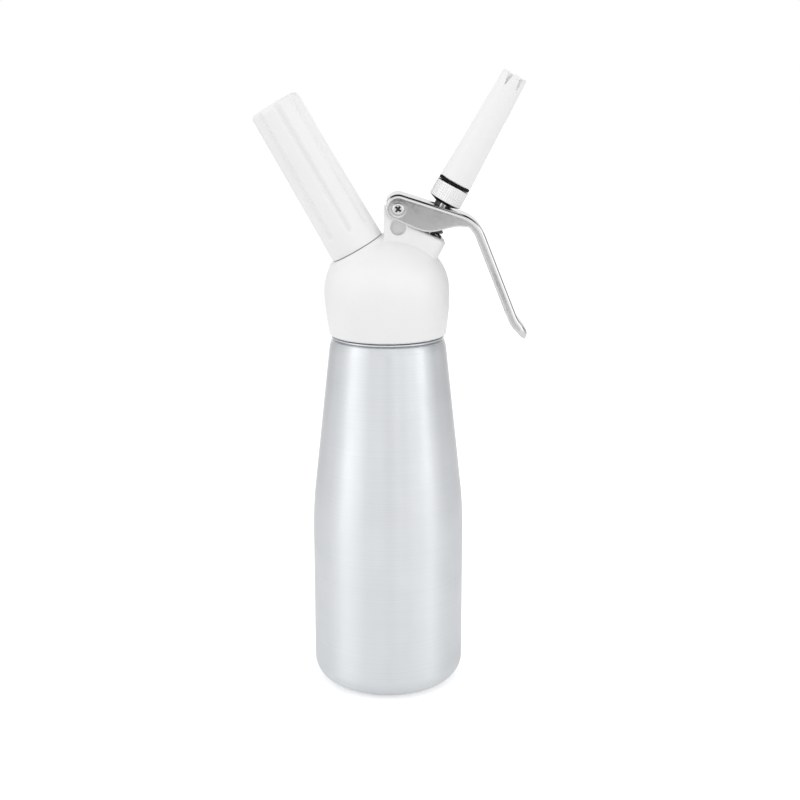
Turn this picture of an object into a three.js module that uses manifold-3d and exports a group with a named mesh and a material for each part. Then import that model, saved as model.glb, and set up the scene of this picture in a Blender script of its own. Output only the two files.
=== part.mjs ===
// Whipped cream dispenser: bottle, screw-on head with a tilted charger holder, and a lever
// valve with a decorating tip. Millimetres, +Z up, origin at the centre of the bottle's base.
// +X is the side of the lever and the tip, -X the side of the charger holder.
import * as THREE from 'three';
import { mergeVertices } from 'three/addons/utils/BufferGeometryUtils.js';
import Module from 'manifold-3d';

const wasm = await Module();
wasm.setup();

// General
const gap = 0.3;             // clearance between pieces that touch on the real object
const overrun = 2;           // how far a cutting tool passes the surface that it cuts
const degree = Math.PI / 180;
const mergeTolerance = 0.001;
const roundSides = 40;
const smallSides = 24;
const pinSides = 20;

// Bottle
const bottleRadius = 40;
const bottleWall = 1.4;
const bottleFloor = 2;
const baseCornerRadius = 11;
const coneStartHeight = 96;
const coneBlendLength = 12;
const shoulderRadius = 30.6;
const shoulderHeight = 181;
const ledgeRadius = 27.4;
const ledgeRise = 7;
const ledgeHeight = shoulderHeight + ledgeRise;
const neckRadius = 23.2;
const neckLength = 17.5;
const mouthRadius = 20.6;
const mouthHeight = ledgeHeight + neckLength;
const threadDepth = 0.9;
const threadPitch = 4;
const threadRidges = 3;
const threadClearance = 0.5;
const mouthLip = 0.8;

// Head
const headClearance = 2;     // the rim of the head stands this far over the bottle's ledge
const headFloor = ledgeHeight + headClearance;
const headRimRadius = 30.2;
const headRimRound = 1;
const domeRadius = 32.4;
const skirtHeight = 21;
const domeBaseHeight = headFloor + skirtHeight;
const domeRise = 28.5;
const domeFullness = 2.2;    // exponent of the dome's curve, 2 is an ellipse
const domeLean = 0.5;        // how far the dome's centre stands towards the holder
const gasketThickness = 2.5;
const cavityRadius = 19.5;
const cavityRise = 11;       // the ceiling of the cavity over the dome's widest place
const cavityHeight = domeBaseHeight + cavityRise;
const cavityRound = 4;

// Charger port and holder, on an axis tilted towards -X
const holderTilt = 30 * degree;
const seamX = -15.6;
const seamRise = 23.4;       // the port's face over the dome's widest place
const seamHeight = domeBaseHeight + seamRise;
const holderLength = 83;
const holderBaseRadius = 14.5;
const holderTopRadius = 13.35;
const holderTopRound = 3;
const holderGrooves = 8;
const grooveTurn = 8.5 * degree;
const grooveWidth = 3;
const grooveDepth = 1;
const grooveStart = 9.3;
const portBossRadius = 14.7;
const portBossFlare = 4.5;
const portBossFlareHeight = 6;
const portFlangeRadius = 12.5;
const portFlangeThickness = 2.5;
const nippleRadius = 10.4;
const nippleLength = 13;
const portShankRadius = 6;
const portSpotRadius = 11;
const portSpotDepth = 12.5;
const portNutApothem = 8.5;
const portNutThickness = 3.4;
const spigotRadius = 3.2;
const spigotLength = 4.4;
const gasPassageRadius = 1;
const socketRadius = 5;
const socketDepth = 7;
const pinSeatRadius = 2.9;
const pinSeatDepth = 4;
const pinBaseHeight = 3;
const pinRadius = 0.8;
const pinBoreRadius = 0.35;
const portSealThickness = 2.3;
const portSealBore = 2;
const checkValveWall = 1.3;
const checkValveSlit = 0.4;

// Gas charger, the usual size with 8 g of gas
const chargerLength = 65.5;
const chargerRadius = 9.3;
const chargerNeckRadius = 4.35;
const chargerNeckLength = 4.2;
const chargerShoulderLength = 11;
const chargerTipRound = 0.9;

// Valve, on an axis tilted towards +X, with its zero at the top of the valve boss
const valveTilt = 29.1 * degree;
const bossX = 20.33;
const bossRise = 31.25;       // the boss's top over the dome's widest place
const bossHeight = domeBaseHeight + bossRise;
const stemRadius = 4.2;
const stemBore = 2.2;
const pistonRadius = 7.8;
const pistonThickness = 3;
const pistonSeatDepth = 19;
const pistonSealThickness = 1;
const stemSideHole = 1.1;
const stemTopReach = 1.4;
const bushRadius = 6;
const bushLength = 11.4;
const bushBoreDepth = 14.2;
const seatBoreRadius = 8.4;
const stemRingThickness = 1.5;
const springLength = 9.2;
const springWire = 1.3;
const springBaseRadius = 7.8;
const springTopRadius = 6.2;
const springTurns = 3.25;
const springStepsPerTurn = 8;
const springWireSides = 5;
const collarThickness = 2.2;
const collarRadius = 6.8;
const collarChamfer = 0.5;

// Knurled adapter, O-ring and decorating tip
const adapterStart = 16.6;
const adapterConeHeight = 1.4;
const adapterConeTopRadius = 8.4;
const adapterMouthLip = 0.5;
const knurlHeight = 9;
const knurlRadius = 8.7;
const knurlDepth = 0.3;
const knurlRows = 6;
const knurlChamfer = 0.5;
const adapterStubRadius = 6.3;
const adapterStubLength = 9;
const adapterBore = 3.2;
const tipRingOuterRadius = 8.15;
const tipRingThickness = 1.5;
const tipLength = 60.4;
const tipBaseRadius = 8.6;
const tipEndRadius = 6.4;
const tipWall = 1.1;
const tipSocketDepth = 8;
const tipSocketShoulder = 1.5;
const tipTeeth = 6;
const tipToothTurn = 10 * degree;
const tipNotchDepth = 6.8;
const tipNotchWidth = 3.4;
const tipNotchRound = 0.9;
const tipEndLip = 0.3;

// Lever pivot and mount block
const pivotBackReach = 14.93; // the pivot from the middle of the boss's top, towards the holder
const pivotX = bossX - pivotBackReach;
const pivotRise = 12.95;
const pivotHeight = bossHeight + pivotRise;
const blockHalfWidth = 10;
const blockWallReach = 7.4;
const blockWallX = pivotX - blockWallReach;
const blockWallRound = 0.8;
const lugRadius = 4.9;
const lugEndAngle = -30 * degree;
const blockFootDepth = 10.25; // how far the block goes down into the dome, under the boss's top
const blockFoot = bossHeight - blockFootDepth;
const lugRootReach = 11;
const bossTilt = 27 * degree;  // the moulding leans a little less than the valve in it
const bossSink = -0.15;        // its top's middle under the valve's zero, here a little over it
const bossReach = 10.5;
const bossBackReach = 14;
const bossCornerRadius = 5;
const bossEdgeRound = 1.5;
const bossDepth = 22;
const recessRadius = 4;
const recessDepth = 4.5;
const recessDrop = 9.7;

// Lever, a stamped channel
const leverHalfWidth = 12;
const leverSheet = 1.5;
const leverFoldRadius = 2.5;
const leverWebReach = 7;      // pivot axis to the outer face of the web
const leverWebTilt = 17.6 * degree;
const leverWrapAngle = 150 * degree;
const leverWebLength = 32.1;
const leverBendRadius = 18;
const leverBendTurn = 50.5 * degree;
const leverHandleLength = 44.5;
const leverCurlRadius = 14;
const leverCurlTurn = 17 * degree;
const leverTipLength = 4.8;   // straight part past the curl
const leverFlangeDepth = 4.7;
const leverTipFlangeDepth = 3.2;
const leverEndRound = 5;
const leverEndReach = 2.4;    // where the plan starts to round, before the end wall
const leverLipRadius = 3.4;
const leverLipTurn = 63 * degree;
const leverLipLength = 0.9;
const leverLipShare = 0.97;   // how far round its end the handle's plan goes
const leverFoldInset = 0.2;
const earRadius = 6.1;
const earDepth = 13.4;
const earEndAngle = 265 * degree;
const slotStart = 14.6;
const slotEnd = 25.9;
const slotHalfWidth = 4.9;

// Pivot pin, a sleeve with a screw in it
const barrelRadius = 2.5;
const barrelBore = 1.8;
const barrelHeadRadius = 3.6;
const barrelHeadThickness = 1.6;
const barrelBoreEnd = 6;
const screwHeadRadius = 3.1;
const screwHeadThickness = 1.9;
const screwShankRadius = 1.5;
const screwShankLength = 14;
const screwCrossWidth = 0.8;
const screwCrossLength = 3.4;
const screwCrossDepth = 1.1;

// Materials
const whitePlastic = new THREE.MeshStandardMaterial({ color: 0xf2f3f4, roughness: 0.35, metalness: 0 });
const satinAluminium = new THREE.MeshStandardMaterial({ color: 0xc9ced3, roughness: 0.35, metalness: 1 });
const polishedSteel = new THREE.MeshStandardMaterial({ color: 0xb4b4b4, roughness: 0.22, metalness: 1 });
const knurledMetal = new THREE.MeshStandardMaterial({ color: 0xdcdcdc, roughness: 0.3, metalness: 1 });
const darkSteel = new THREE.MeshStandardMaterial({ color: 0x55575a, roughness: 0.35, metalness: 1 });
const brass = new THREE.MeshStandardMaterial({ color: 0xc7a55a, roughness: 0.35, metalness: 1 });
const blackRubber = new THREE.MeshStandardMaterial({ color: 0x111111, roughness: 0.6, metalness: 0 });
const greyRubber = new THREE.MeshStandardMaterial({ color: 0x8a8d90, roughness: 0.7, metalness: 0 });

// A body of revolution about +Z from a list of radius and height pairs, outside going up
function turned(profile, sides = roundSides) {
  const points = profile.map(([radius, height]) => new THREE.Vector2(radius, height));
  return new THREE.LatheGeometry(points, sides).rotateX(Math.PI / 2);
}

// A closed ring of revolution, its profile given without the repeated first point
function turnedRing(profile, sides = roundSides) {
  return turned([...profile, profile[0]], sides);
}

// Points of an arc in the radius and height plane
function arc(centreRadius, centreHeight, radius, fromAngle, toAngle, steps) {
  const points = [];
  for (let i = 0; i <= steps; i += 1) {
    const angle = fromAngle + (toAngle - fromAngle) * i / steps;
    points.push([centreRadius + radius * Math.cos(angle), centreHeight + radius * Math.sin(angle)]);
  }
  return points;
}

// Points of a quadratic curve from start to end, drawn towards a control point
function bend(start, control, end, steps) {
  const curve = new THREE.QuadraticBezierCurve(
    new THREE.Vector2(...start), new THREE.Vector2(...control), new THREE.Vector2(...end));
  return curve.getPoints(steps).map((point) => [point.x, point.y]);
}

// A plate with its outline in the X and Z plane, from one Y to another
function sidePlate(outline, fromY, toY, arcSteps = 6) {
  const plate = new THREE.ExtrudeGeometry(outline, {
    depth: toY - fromY, bevelEnabled: false, curveSegments: arcSteps });
  return plate.rotateX(Math.PI / 2).translate(0, toY, 0);
}

// A round pin along Y
function crossPin(radius, x, height, fromY, toY, sides = pinSides) {
  return new THREE.CylinderGeometry(radius, radius, toY - fromY, sides)
    .translate(x, (fromY + toY) / 2, height);
}

// The closed solid of a geometry, with shared vertices merged and empty triangles left out
function toSolid(geometry) {
  const bare = geometry.clone();
  bare.deleteAttribute('normal');
  bare.deleteAttribute('uv');
  const merged = mergeVertices(bare, mergeTolerance);
  const corners = merged.index.array;
  const kept = [];
  for (let i = 0; i < corners.length; i += 3) {
    const [a, b, c] = [corners[i], corners[i + 1], corners[i + 2]];
    if (a !== b && b !== c && c !== a) kept.push(a, b, c);
  }
  return new wasm.Manifold(new wasm.Mesh({
    numProp: 3,
    vertProperties: new Float32Array(merged.attributes.position.array),
    triVerts: new Uint32Array(kept),
  }));
}

// The geometry of a solid
function toGeometry(solid) {
  const mesh = solid.getMesh();
  const geometry = new THREE.BufferGeometry();
  geometry.setAttribute('position', new THREE.BufferAttribute(mesh.vertProperties, 3));
  geometry.setIndex(new THREE.BufferAttribute(mesh.triVerts, 1));
  geometry.computeVertexNormals();
  return geometry;
}

function joined(geometries) {
  return geometries.map(toSolid).reduce((whole, piece) => whole.add(piece));
}

function cutFrom(solid, geometries) {
  return geometries.map(toSolid).reduce((whole, tool) => whole.subtract(tool), solid);
}

// Frames of the two tilted axes
function tiltedFrame(x, height, tilt) {
  return new THREE.Matrix4().makeRotationY(tilt).setPosition(x, 0, height);
}

const holderFrame = tiltedFrame(seamX, seamHeight, -holderTilt);
const valveFrame = tiltedFrame(bossX, bossHeight, valveTilt);

// Heights along the valve axis that several pieces share
const collarStart = gap + springLength + gap;
const knurlStart = adapterStart + adapterConeHeight;
const knurlEnd = knurlStart + knurlHeight;
const tipRingMiddle = knurlEnd + gap + tipRingThickness / 2;
const tipStart = knurlEnd + gap + tipRingThickness + gap;
const stemTop = knurlEnd + stemTopReach;
const bushBoreRadius = bushRadius + gap;
const stemClearBore = stemRadius + gap;
const neckBoreRadius = neckRadius + threadDepth + threadClearance;

// Bottle
function coneRadiusAt(height) {
  const share = (height - coneStartHeight) / (shoulderHeight - coneStartHeight);
  return bottleRadius + (shoulderRadius - bottleRadius) * share;
}

function neckThread() {
  const start = mouthHeight - mouthLip - threadRidges * threadPitch;
  const points = [];
  for (let i = 0; i < threadRidges; i += 1) {
    points.push([neckRadius, start + i * threadPitch]);
    points.push([neckRadius + threadDepth, start + (i + 1 / 2) * threadPitch]);
  }
  points.push([neckRadius, start + threadRidges * threadPitch]);
  return points;
}

function bottle() {
  const wallEnd = coneStartHeight - coneBlendLength;
  const coneStart = coneStartHeight + coneBlendLength;
  const innerCorner = baseCornerRadius - bottleWall;
  const cornerCentre = bottleRadius - baseCornerRadius;
  return turned([
    [0, 0],
    ...arc(cornerCentre, baseCornerRadius, baseCornerRadius, -90 * degree, 0, 5),
    ...bend([bottleRadius, wallEnd], [bottleRadius, coneStartHeight],
      [coneRadiusAt(coneStart), coneStart], 3),
    ...bend([shoulderRadius, shoulderHeight], [coneRadiusAt(ledgeHeight), ledgeHeight],
      [ledgeRadius, ledgeHeight], 3),
    [neckRadius, ledgeHeight],
    ...neckThread(),
    [neckRadius - mouthLip, mouthHeight],
    [mouthRadius, mouthHeight],
    [mouthRadius, ledgeHeight - bottleWall],
    [ledgeRadius - 2 * bottleWall, ledgeHeight - 2 * bottleWall],
    [shoulderRadius - bottleWall, shoulderHeight - bottleWall],
    ...bend([coneRadiusAt(coneStart) - bottleWall, coneStart],
      [bottleRadius - bottleWall, coneStartHeight], [bottleRadius - bottleWall, wallEnd], 2),
    ...arc(cornerCentre, bottleFloor + innerCorner, innerCorner, 0, -90 * degree, 3),
    [0, bottleFloor],
  ]);
}

// Head
const gasketHeight = mouthHeight + gap;
const headSeatHeight = gasketHeight + gasketThickness + gap;

function headGasket() {
  return turnedRing([
    [mouthRadius + gap, gasketHeight],
    [neckRadius + threadDepth, gasketHeight],
    [neckRadius + threadDepth, gasketHeight + gasketThickness],
    [mouthRadius + gap, gasketHeight + gasketThickness],
  ]);
}

function dome() {
  const skirtSteps = 4;
  const crownSteps = 9;
  const profile = [
    [0, headFloor],
    ...arc(headRimRadius - headRimRound, headFloor + headRimRound, headRimRound, -90 * degree, 0, 2),
  ];
  const skirtStart = headFloor + headRimRound;
  for (let i = 1; i <= skirtSteps; i += 1) {
    const share = i / skirtSteps;
    profile.push([
      headRimRadius + (domeRadius - headRimRadius) * Math.sin(share * 90 * degree),
      skirtStart + (domeBaseHeight - skirtStart) * share,
    ]);
  }
  for (let i = 1; i < crownSteps; i += 1) {
    const angle = 90 * degree * i / crownSteps;
    profile.push([
      domeRadius * Math.cos(angle) ** (2 / domeFullness),
      domeBaseHeight + domeRise * Math.sin(angle) ** (2 / domeFullness),
    ]);
  }
  profile.push([0, domeBaseHeight + domeRise]);
  const geometry = turned(profile);
  const places = geometry.attributes.position;
  for (let i = 0; i < places.count; i += 1) {
    const rise = (places.getZ(i) - headFloor) / (domeBaseHeight - headFloor);
    places.setX(i, places.getX(i) - domeLean * Math.min(rise, 1));
  }
  return geometry;
}

function portBoss() {
  const flareRadius = portBossRadius + portBossFlare;
  return turned([
    [0, -portSpotDepth],
    [flareRadius, -portSpotDepth],
    ...bend([flareRadius, -portBossFlareHeight], [portBossRadius, -portBossFlareHeight],
      [portBossRadius, -gap], 4),
    [0, -gap],
  ]).applyMatrix4(holderFrame);
}

// A point of the valve's middle plane, from its place across and along the valve axis
function valvePoint(across, along) {
  const place = new THREE.Vector3(across, 0, along).applyMatrix4(valveFrame);
  return [place.x, place.z];
}

function leverLug() {
  const outline = new THREE.Shape();
  const shoulderX = pivotX - lugRadius;
  const [rootX, rootHeight] = valvePoint(-lugRootReach, 0);
  outline.moveTo(blockWallX, blockFoot);
  outline.lineTo(blockWallX, pivotHeight - blockWallRound);
  outline.absarc(blockWallX + blockWallRound, pivotHeight - blockWallRound, blockWallRound,
    180 * degree, 90 * degree, true);
  outline.lineTo(shoulderX, pivotHeight);
  outline.absarc(pivotX, pivotHeight, lugRadius, 180 * degree, lugEndAngle, true);
  outline.lineTo(rootX, rootHeight);
  outline.lineTo(rootX, blockFoot);
  outline.closePath();
  return sidePlate(outline, -blockHalfWidth, blockHalfWidth);
}

function valveBoss() {
  const across = blockHalfWidth - bossEdgeRound;
  const right = bossReach - bossEdgeRound;
  const left = -bossBackReach + bossEdgeRound;
  const corner = bossCornerRadius - bossEdgeRound;
  const plan = new THREE.Shape();
  plan.moveTo(left, -across);
  plan.lineTo(right - corner, -across);
  plan.absarc(right - corner, -across + corner, corner, -90 * degree, 0, false);
  plan.lineTo(right, across - corner);
  plan.absarc(right - corner, across - corner, corner, 0, 90 * degree, false);
  plan.lineTo(left, across);
  plan.closePath();
  const boss = new THREE.ExtrudeGeometry(plan, {
    depth: bossDepth - 2 * bossEdgeRound,
    bevelSize: bossEdgeRound,
    bevelThickness: bossEdgeRound,
    bevelSegments: 3,
    curveSegments: 5,
  });
  return boss.translate(0, 0, bossEdgeRound - bossDepth - bossSink)
    .applyMatrix4(tiltedFrame(bossX, bossHeight, bossTilt));
}

function neckBore() {
  const cavityCorner = cavityRadius - cavityRound;
  return turned([
    [0, headFloor - overrun],
    [neckBoreRadius, headFloor - overrun],
    [neckBoreRadius, headSeatHeight],
    [cavityRadius, headSeatHeight],
    ...arc(cavityCorner, cavityHeight - cavityRound, cavityRound, 0, 90 * degree, 3),
    [0, cavityHeight],
  ]);
}

function portBore() {
  const spotEnd = -portSpotDepth - portSpotRadius;
  const flangeFloor = -portFlangeThickness - 3 * gap;
  return turned([
    [0, spotEnd],
    [portSpotRadius, spotEnd],
    [portSpotRadius, -portSpotDepth],
    [portShankRadius + gap, -portSpotDepth],
    [portShankRadius + gap, flangeFloor],
    [portFlangeRadius + gap, flangeFloor],
    [portFlangeRadius + gap, -gap],
    [portBossRadius + 2 * gap, -gap],
    [portBossRadius + 2 * gap, portBossRadius],
    [0, portBossRadius],
  ], smallSides).applyMatrix4(holderFrame);
}

function valveBore() {
  const seatEnd = -pistonSeatDepth - portSpotRadius;
  const throat = stemRadius + 2 * gap;
  return turned([
    [0, seatEnd],
    [seatBoreRadius, seatEnd],
    [seatBoreRadius, -pistonSeatDepth],
    [throat, -pistonSeatDepth],
    [throat, -bushBoreDepth],
    [bushBoreRadius, -bushBoreDepth],
    [bushBoreRadius, overrun],
    [0, overrun],
  ], smallSides).applyMatrix4(valveFrame);
}

function blockRecesses() {
  const height = pivotHeight - recessDrop;
  const inner = blockHalfWidth - recessDepth;
  const outer = blockHalfWidth + overrun;
  return [
    crossPin(recessRadius, pivotX, height, -outer, -inner, smallSides),
    crossPin(recessRadius, pivotX, height, inner, outer, smallSides),
  ];
}

function headShell() {
  const reach = blockHalfWidth + overrun;
  const outside = joined([dome(), portBoss(), leverLug(), valveBoss()]);
  return toGeometry(cutFrom(outside, [
    neckBore(),
    portBore(),
    valveBore(),
    crossPin(barrelRadius + gap, pivotX, pivotHeight, -reach, reach),
    ...blockRecesses(),
  ]));
}

// Charger port, in the frame of the holder axis with its zero at the seam
const portNutStart = -portSpotDepth - gap;
const spigotStart = portNutStart - portNutThickness - gap / 2;
const spigotEnd = spigotStart - spigotLength;
const socketFloor = nippleLength - socketDepth;
const pinSeat = socketFloor - pinSeatDepth;
const portSealStart = socketFloor + gap;
const chargerStart = portSealStart + portSealThickness + gap;

function chargerPort() {
  const flangeTop = -2 * gap;
  const flangeBottom = flangeTop - portFlangeThickness;
  const threadStart = nippleLength - threadRidges * threadPitch;
  const outside = [
    [gasPassageRadius, spigotEnd],
    [spigotRadius, spigotEnd],
    [spigotRadius, spigotStart],
    [portShankRadius, spigotStart],
    [portShankRadius, flangeBottom],
    [portFlangeRadius, flangeBottom],
    [portFlangeRadius, flangeTop],
    [nippleRadius - threadDepth, flangeTop],
  ];
  for (let i = 0; i < threadRidges; i += 1) {
    outside.push([nippleRadius - threadDepth, threadStart + i * threadPitch]);
    outside.push([nippleRadius, threadStart + (i + 1 / 2) * threadPitch]);
  }
  return turnedRing([
    ...outside,
    [nippleRadius - threadDepth, nippleLength],
    [socketRadius, nippleLength],
    [socketRadius, socketFloor],
    [pinSeatRadius, socketFloor],
    [pinSeatRadius, pinSeat],
    [gasPassageRadius, pinSeat],
  ], smallSides);
}

function portNut() {
  const hexagon = new THREE.Shape();
  const cornerRadius = portNutApothem / Math.cos(30 * degree);
  for (let i = 0; i < 6; i += 1) {
    const angle = (30 + 60 * i) * degree;
    const corner = [cornerRadius * Math.cos(angle), cornerRadius * Math.sin(angle)];
    if (i === 0) hexagon.moveTo(...corner);
    else hexagon.lineTo(...corner);
  }
  hexagon.closePath();
  const hole = new THREE.Path();
  hole.absarc(0, 0, portShankRadius + gap, 0, 360 * degree, false);
  hexagon.holes.push(hole);
  const nut = new THREE.ExtrudeGeometry(hexagon, {
    depth: portNutThickness, bevelEnabled: false, curveSegments: 12 });
  return nut.translate(0, 0, portNutStart - portNutThickness);
}

function portSeal() {
  const outer = socketRadius - gap;
  return turnedRing([
    [portSealBore, portSealStart],
    [outer, portSealStart],
    [outer, portSealStart + portSealThickness],
    [portSealBore, portSealStart + portSealThickness],
  ], smallSides);
}

function piercingPin() {
  const start = pinSeat + gap;
  const baseEnd = start + pinBaseHeight;
  const tip = chargerStart - gap;
  return turnedRing([
    [pinBoreRadius, start],
    [pinSeatRadius - gap, start],
    [pinSeatRadius - gap, baseEnd],
    [pinRadius, baseEnd],
    [pinRadius, tip - pinRadius],
    [(pinRadius + pinBoreRadius) / 2, tip],
    [pinBoreRadius, tip],
  ], pinSides);
}

function checkValve() {
  const open = spigotStart - gap;
  const inner = spigotRadius + gap;
  const outer = inner + checkValveWall;
  const floor = spigotEnd - gap;
  const end = floor - checkValveWall;
  const chamfer = checkValveWall / 2;
  const cap = toSolid(turned([
    [0, end],
    [outer - chamfer, end],
    [outer, end + chamfer],
    [outer, open],
    [inner, open],
    [inner, floor],
    [0, floor],
  ], pinSides));
  const slit = new THREE.BoxGeometry(checkValveSlit, 2 * spigotRadius - 2 * gap, 4 * checkValveWall)
    .translate(0, 0, end);
  return toGeometry(cutFrom(cap, [slit]));
}

// Charger holder and charger
function chargerHolder() {
  const boreRadius = chargerRadius + gap;
  const boreEnd = chargerStart + chargerLength + gap;
  const threadRadius = nippleRadius + threadClearance;
  const threadEnd = nippleLength + 2 * gap;
  const outerAt = (height) => (
    holderBaseRadius + (holderTopRadius - holderBaseRadius) * height / holderLength);
  const body = toSolid(turned([
    [0, boreEnd],
    ...arc(0, boreEnd - boreRadius, boreRadius, 60 * degree, 0, 3),
    [boreRadius, threadEnd + threadDepth],
    [threadRadius, threadEnd],
    [threadRadius, 0],
    [holderBaseRadius, 0],
    ...arc(outerAt(holderLength) - holderTopRound, holderLength - holderTopRound, holderTopRound,
      0, 90 * degree, 3),
    [0, holderLength],
  ]));
  const cutterRadius = (grooveWidth ** 2 / 4 + grooveDepth ** 2) / (2 * grooveDepth);
  const taper = Math.atan((holderBaseRadius - holderTopRadius) / holderLength);
  const cutters = [];
  for (let i = 0; i < holderGrooves; i += 1) {
    const start = grooveStart + cutterRadius;
    const straight = holderLength - start + overrun;
    const cutter = turned([
      ...arc(0, 0, cutterRadius, -90 * degree, 0, 3),
      [cutterRadius, straight],
      [0, straight],
    ], 12);
    cutter.rotateY(-taper);
    cutter.translate(outerAt(start) + cutterRadius - grooveDepth, 0, start);
    cutter.rotateZ(grooveTurn - 90 * degree + 360 * degree * i / holderGrooves);
    cutters.push(cutter);
  }
  return toGeometry(cutFrom(body, cutters));
}

function gasCharger() {
  const neckEnd = chargerStart + chargerNeckLength;
  const shoulderEnd = neckEnd + chargerShoulderLength;
  const end = chargerStart + chargerLength;
  return turned([
    [0, chargerStart],
    [chargerNeckRadius - chargerTipRound, chargerStart],
    [chargerNeckRadius, chargerStart + chargerTipRound],
    ...bend([chargerNeckRadius, neckEnd], [chargerRadius, neckEnd + chargerNeckLength],
      [chargerRadius, shoulderEnd], 4),
    ...arc(0, end - chargerRadius, chargerRadius, 0, 90 * degree, 4),
  ], smallSides);
}

// Valve pieces, in the frame of the valve axis
function valveStem() {
  const pistonTop = -pistonSeatDepth - pistonSealThickness - 2 * gap;
  const pistonBottom = pistonTop - pistonThickness;
  const boreEnd = -pistonSeatDepth + stemSideHole;
  const stem = toSolid(turned([
    [0, pistonBottom],
    [pistonRadius, pistonBottom],
    [pistonRadius, pistonTop],
    [stemRadius, pistonTop],
    [stemRadius, stemTop],
    [stemBore, stemTop],
    [stemBore, boreEnd],
    [0, boreEnd],
  ], smallSides));
  const sideHole = crossPin(stemSideHole, 0, boreEnd + stemSideHole + gap,
    -stemRadius - overrun, stemRadius + overrun, 12);
  return toGeometry(cutFrom(stem, [sideHole]));
}

function pistonSeal() {
  const top = -pistonSeatDepth - gap;
  return turnedRing([
    [stemClearBore, top - pistonSealThickness],
    [pistonRadius - gap, top - pistonSealThickness],
    [pistonRadius - gap, top],
    [stemClearBore, top],
  ], smallSides);
}

function stemRing() {
  const tube = stemRingThickness / 2;
  const middle = -gap - gap / 2 - bushLength - gap - tube;
  return new THREE.TorusGeometry(stemClearBore + tube, tube, 6, smallSides).translate(0, 0, middle);
}

function valveBush() {
  const top = -gap - gap / 2;
  return turnedRing([
    [stemClearBore, top - bushLength],
    [bushRadius, top - bushLength],
    [bushRadius, top],
    [stemClearBore, top],
  ], smallSides);
}

// The conical spring as one unbroken wire, with flat ends
function valveSpring() {
  const wireRadius = springWire / 2;
  const steps = Math.round(springTurns * springStepsPerTurn);
  const start = gap + wireRadius;
  const rise = springLength - springWire;
  const centres = [];
  const corners = [];
  for (let i = 0; i <= steps; i += 1) {
    const share = i / steps;
    const angle = share * springTurns * 360 * degree;
    const radius = springBaseRadius - wireRadius + (springTopRadius - springBaseRadius) * share;
    const height = start + rise * share;
    centres.push(new THREE.Vector3(radius * Math.cos(angle), radius * Math.sin(angle), height));
    for (let k = 0; k < springWireSides; k += 1) {
      const around = k / springWireSides * 360 * degree;
      const reach = radius + wireRadius * Math.cos(around);
      corners.push(reach * Math.cos(angle), reach * Math.sin(angle),
        height + wireRadius * Math.sin(around));
    }
  }
  const faces = [];
  for (let i = 0; i < steps; i += 1) {
    for (let k = 0; k < springWireSides; k += 1) {
      const next = (k + 1) % springWireSides;
      const a = i * springWireSides + k;
      const b = i * springWireSides + next;
      const c = (i + 1) * springWireSides + next;
      const d = (i + 1) * springWireSides + k;
      faces.push(a, c, b, a, d, c);
    }
  }
  const last = steps * springWireSides;
  for (let k = 1; k < springWireSides - 1; k += 1) {
    faces.push(0, k, k + 1);
    faces.push(last, last + k + 1, last + k);
  }
  const geometry = new THREE.BufferGeometry();
  geometry.setAttribute('position', new THREE.Float32BufferAttribute(corners, 3));
  geometry.setIndex(faces);
  geometry.computeVertexNormals();
  printLeastGap(centres);
  return geometry;
}

// Prints the least gap between one turn of the spring and the next
function printLeastGap(centres) {
  let least = Infinity;
  for (let i = 0; i < centres.length; i += 1) {
    for (let j = i + springStepsPerTurn / 2; j < centres.length; j += 1) {
      least = Math.min(least, centres[i].distanceTo(centres[j]) - springWire);
    }
  }
  console.log(`valve_spring least gap to itself ${least.toFixed(2)} mm`);
}

function springCollar() {
  const end = collarStart + collarThickness;
  return turnedRing([
    [stemClearBore, collarStart],
    [collarRadius, collarStart],
    [collarRadius, end - collarChamfer],
    [collarRadius - collarChamfer, end],
    [stemClearBore, end],
  ], smallSides);
}

// Adapter with a diamond knurl: every other corner of the ring stands back
function tipAdapter() {
  const throat = adapterStart + (knurlEnd - adapterStart) + stemTopReach + gap;
  const stubEnd = knurlEnd + adapterStubLength;
  const knurl = [];
  for (let i = 0; i <= knurlRows; i += 1) {
    const share = i / knurlRows;
    knurl.push([knurlRadius, knurlStart + knurlChamfer + (knurlHeight - 2 * knurlChamfer) * share]);
  }
  const profile = [
    [stemClearBore + adapterMouthLip, adapterStart],
    [adapterConeTopRadius, knurlStart],
    ...knurl,
    [adapterConeTopRadius, knurlEnd],
    [adapterStubRadius, knurlEnd],
    [adapterStubRadius, stubEnd - knurlChamfer],
    [adapterStubRadius - knurlChamfer, stubEnd],
    [adapterBore, stubEnd],
    [adapterBore, throat],
    [stemClearBore, throat],
    [stemClearBore, adapterStart],
  ];
  const geometry = turnedRing(profile);
  const places = geometry.attributes.position;
  const rowPoints = profile.length + 1;
  const knurlShare = (knurlRadius - knurlDepth) / knurlRadius;
  const firstRow = 2;
  for (let i = 0; i <= roundSides; i += 1) {
    for (let row = 0; row <= knurlRows; row += 1) {
      if ((i + row) % 2 === 0) continue;
      const place = i * rowPoints + firstRow + row;
      places.setX(place, places.getX(place) * knurlShare);
      places.setY(place, places.getY(place) * knurlShare);
    }
  }
  return geometry;
}

function tipRing() {
  const tube = tipRingThickness / 2;
  return new THREE.TorusGeometry(tipRingOuterRadius - tube, tube, 6, smallSides)
    .translate(0, 0, tipRingMiddle);
}

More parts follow.
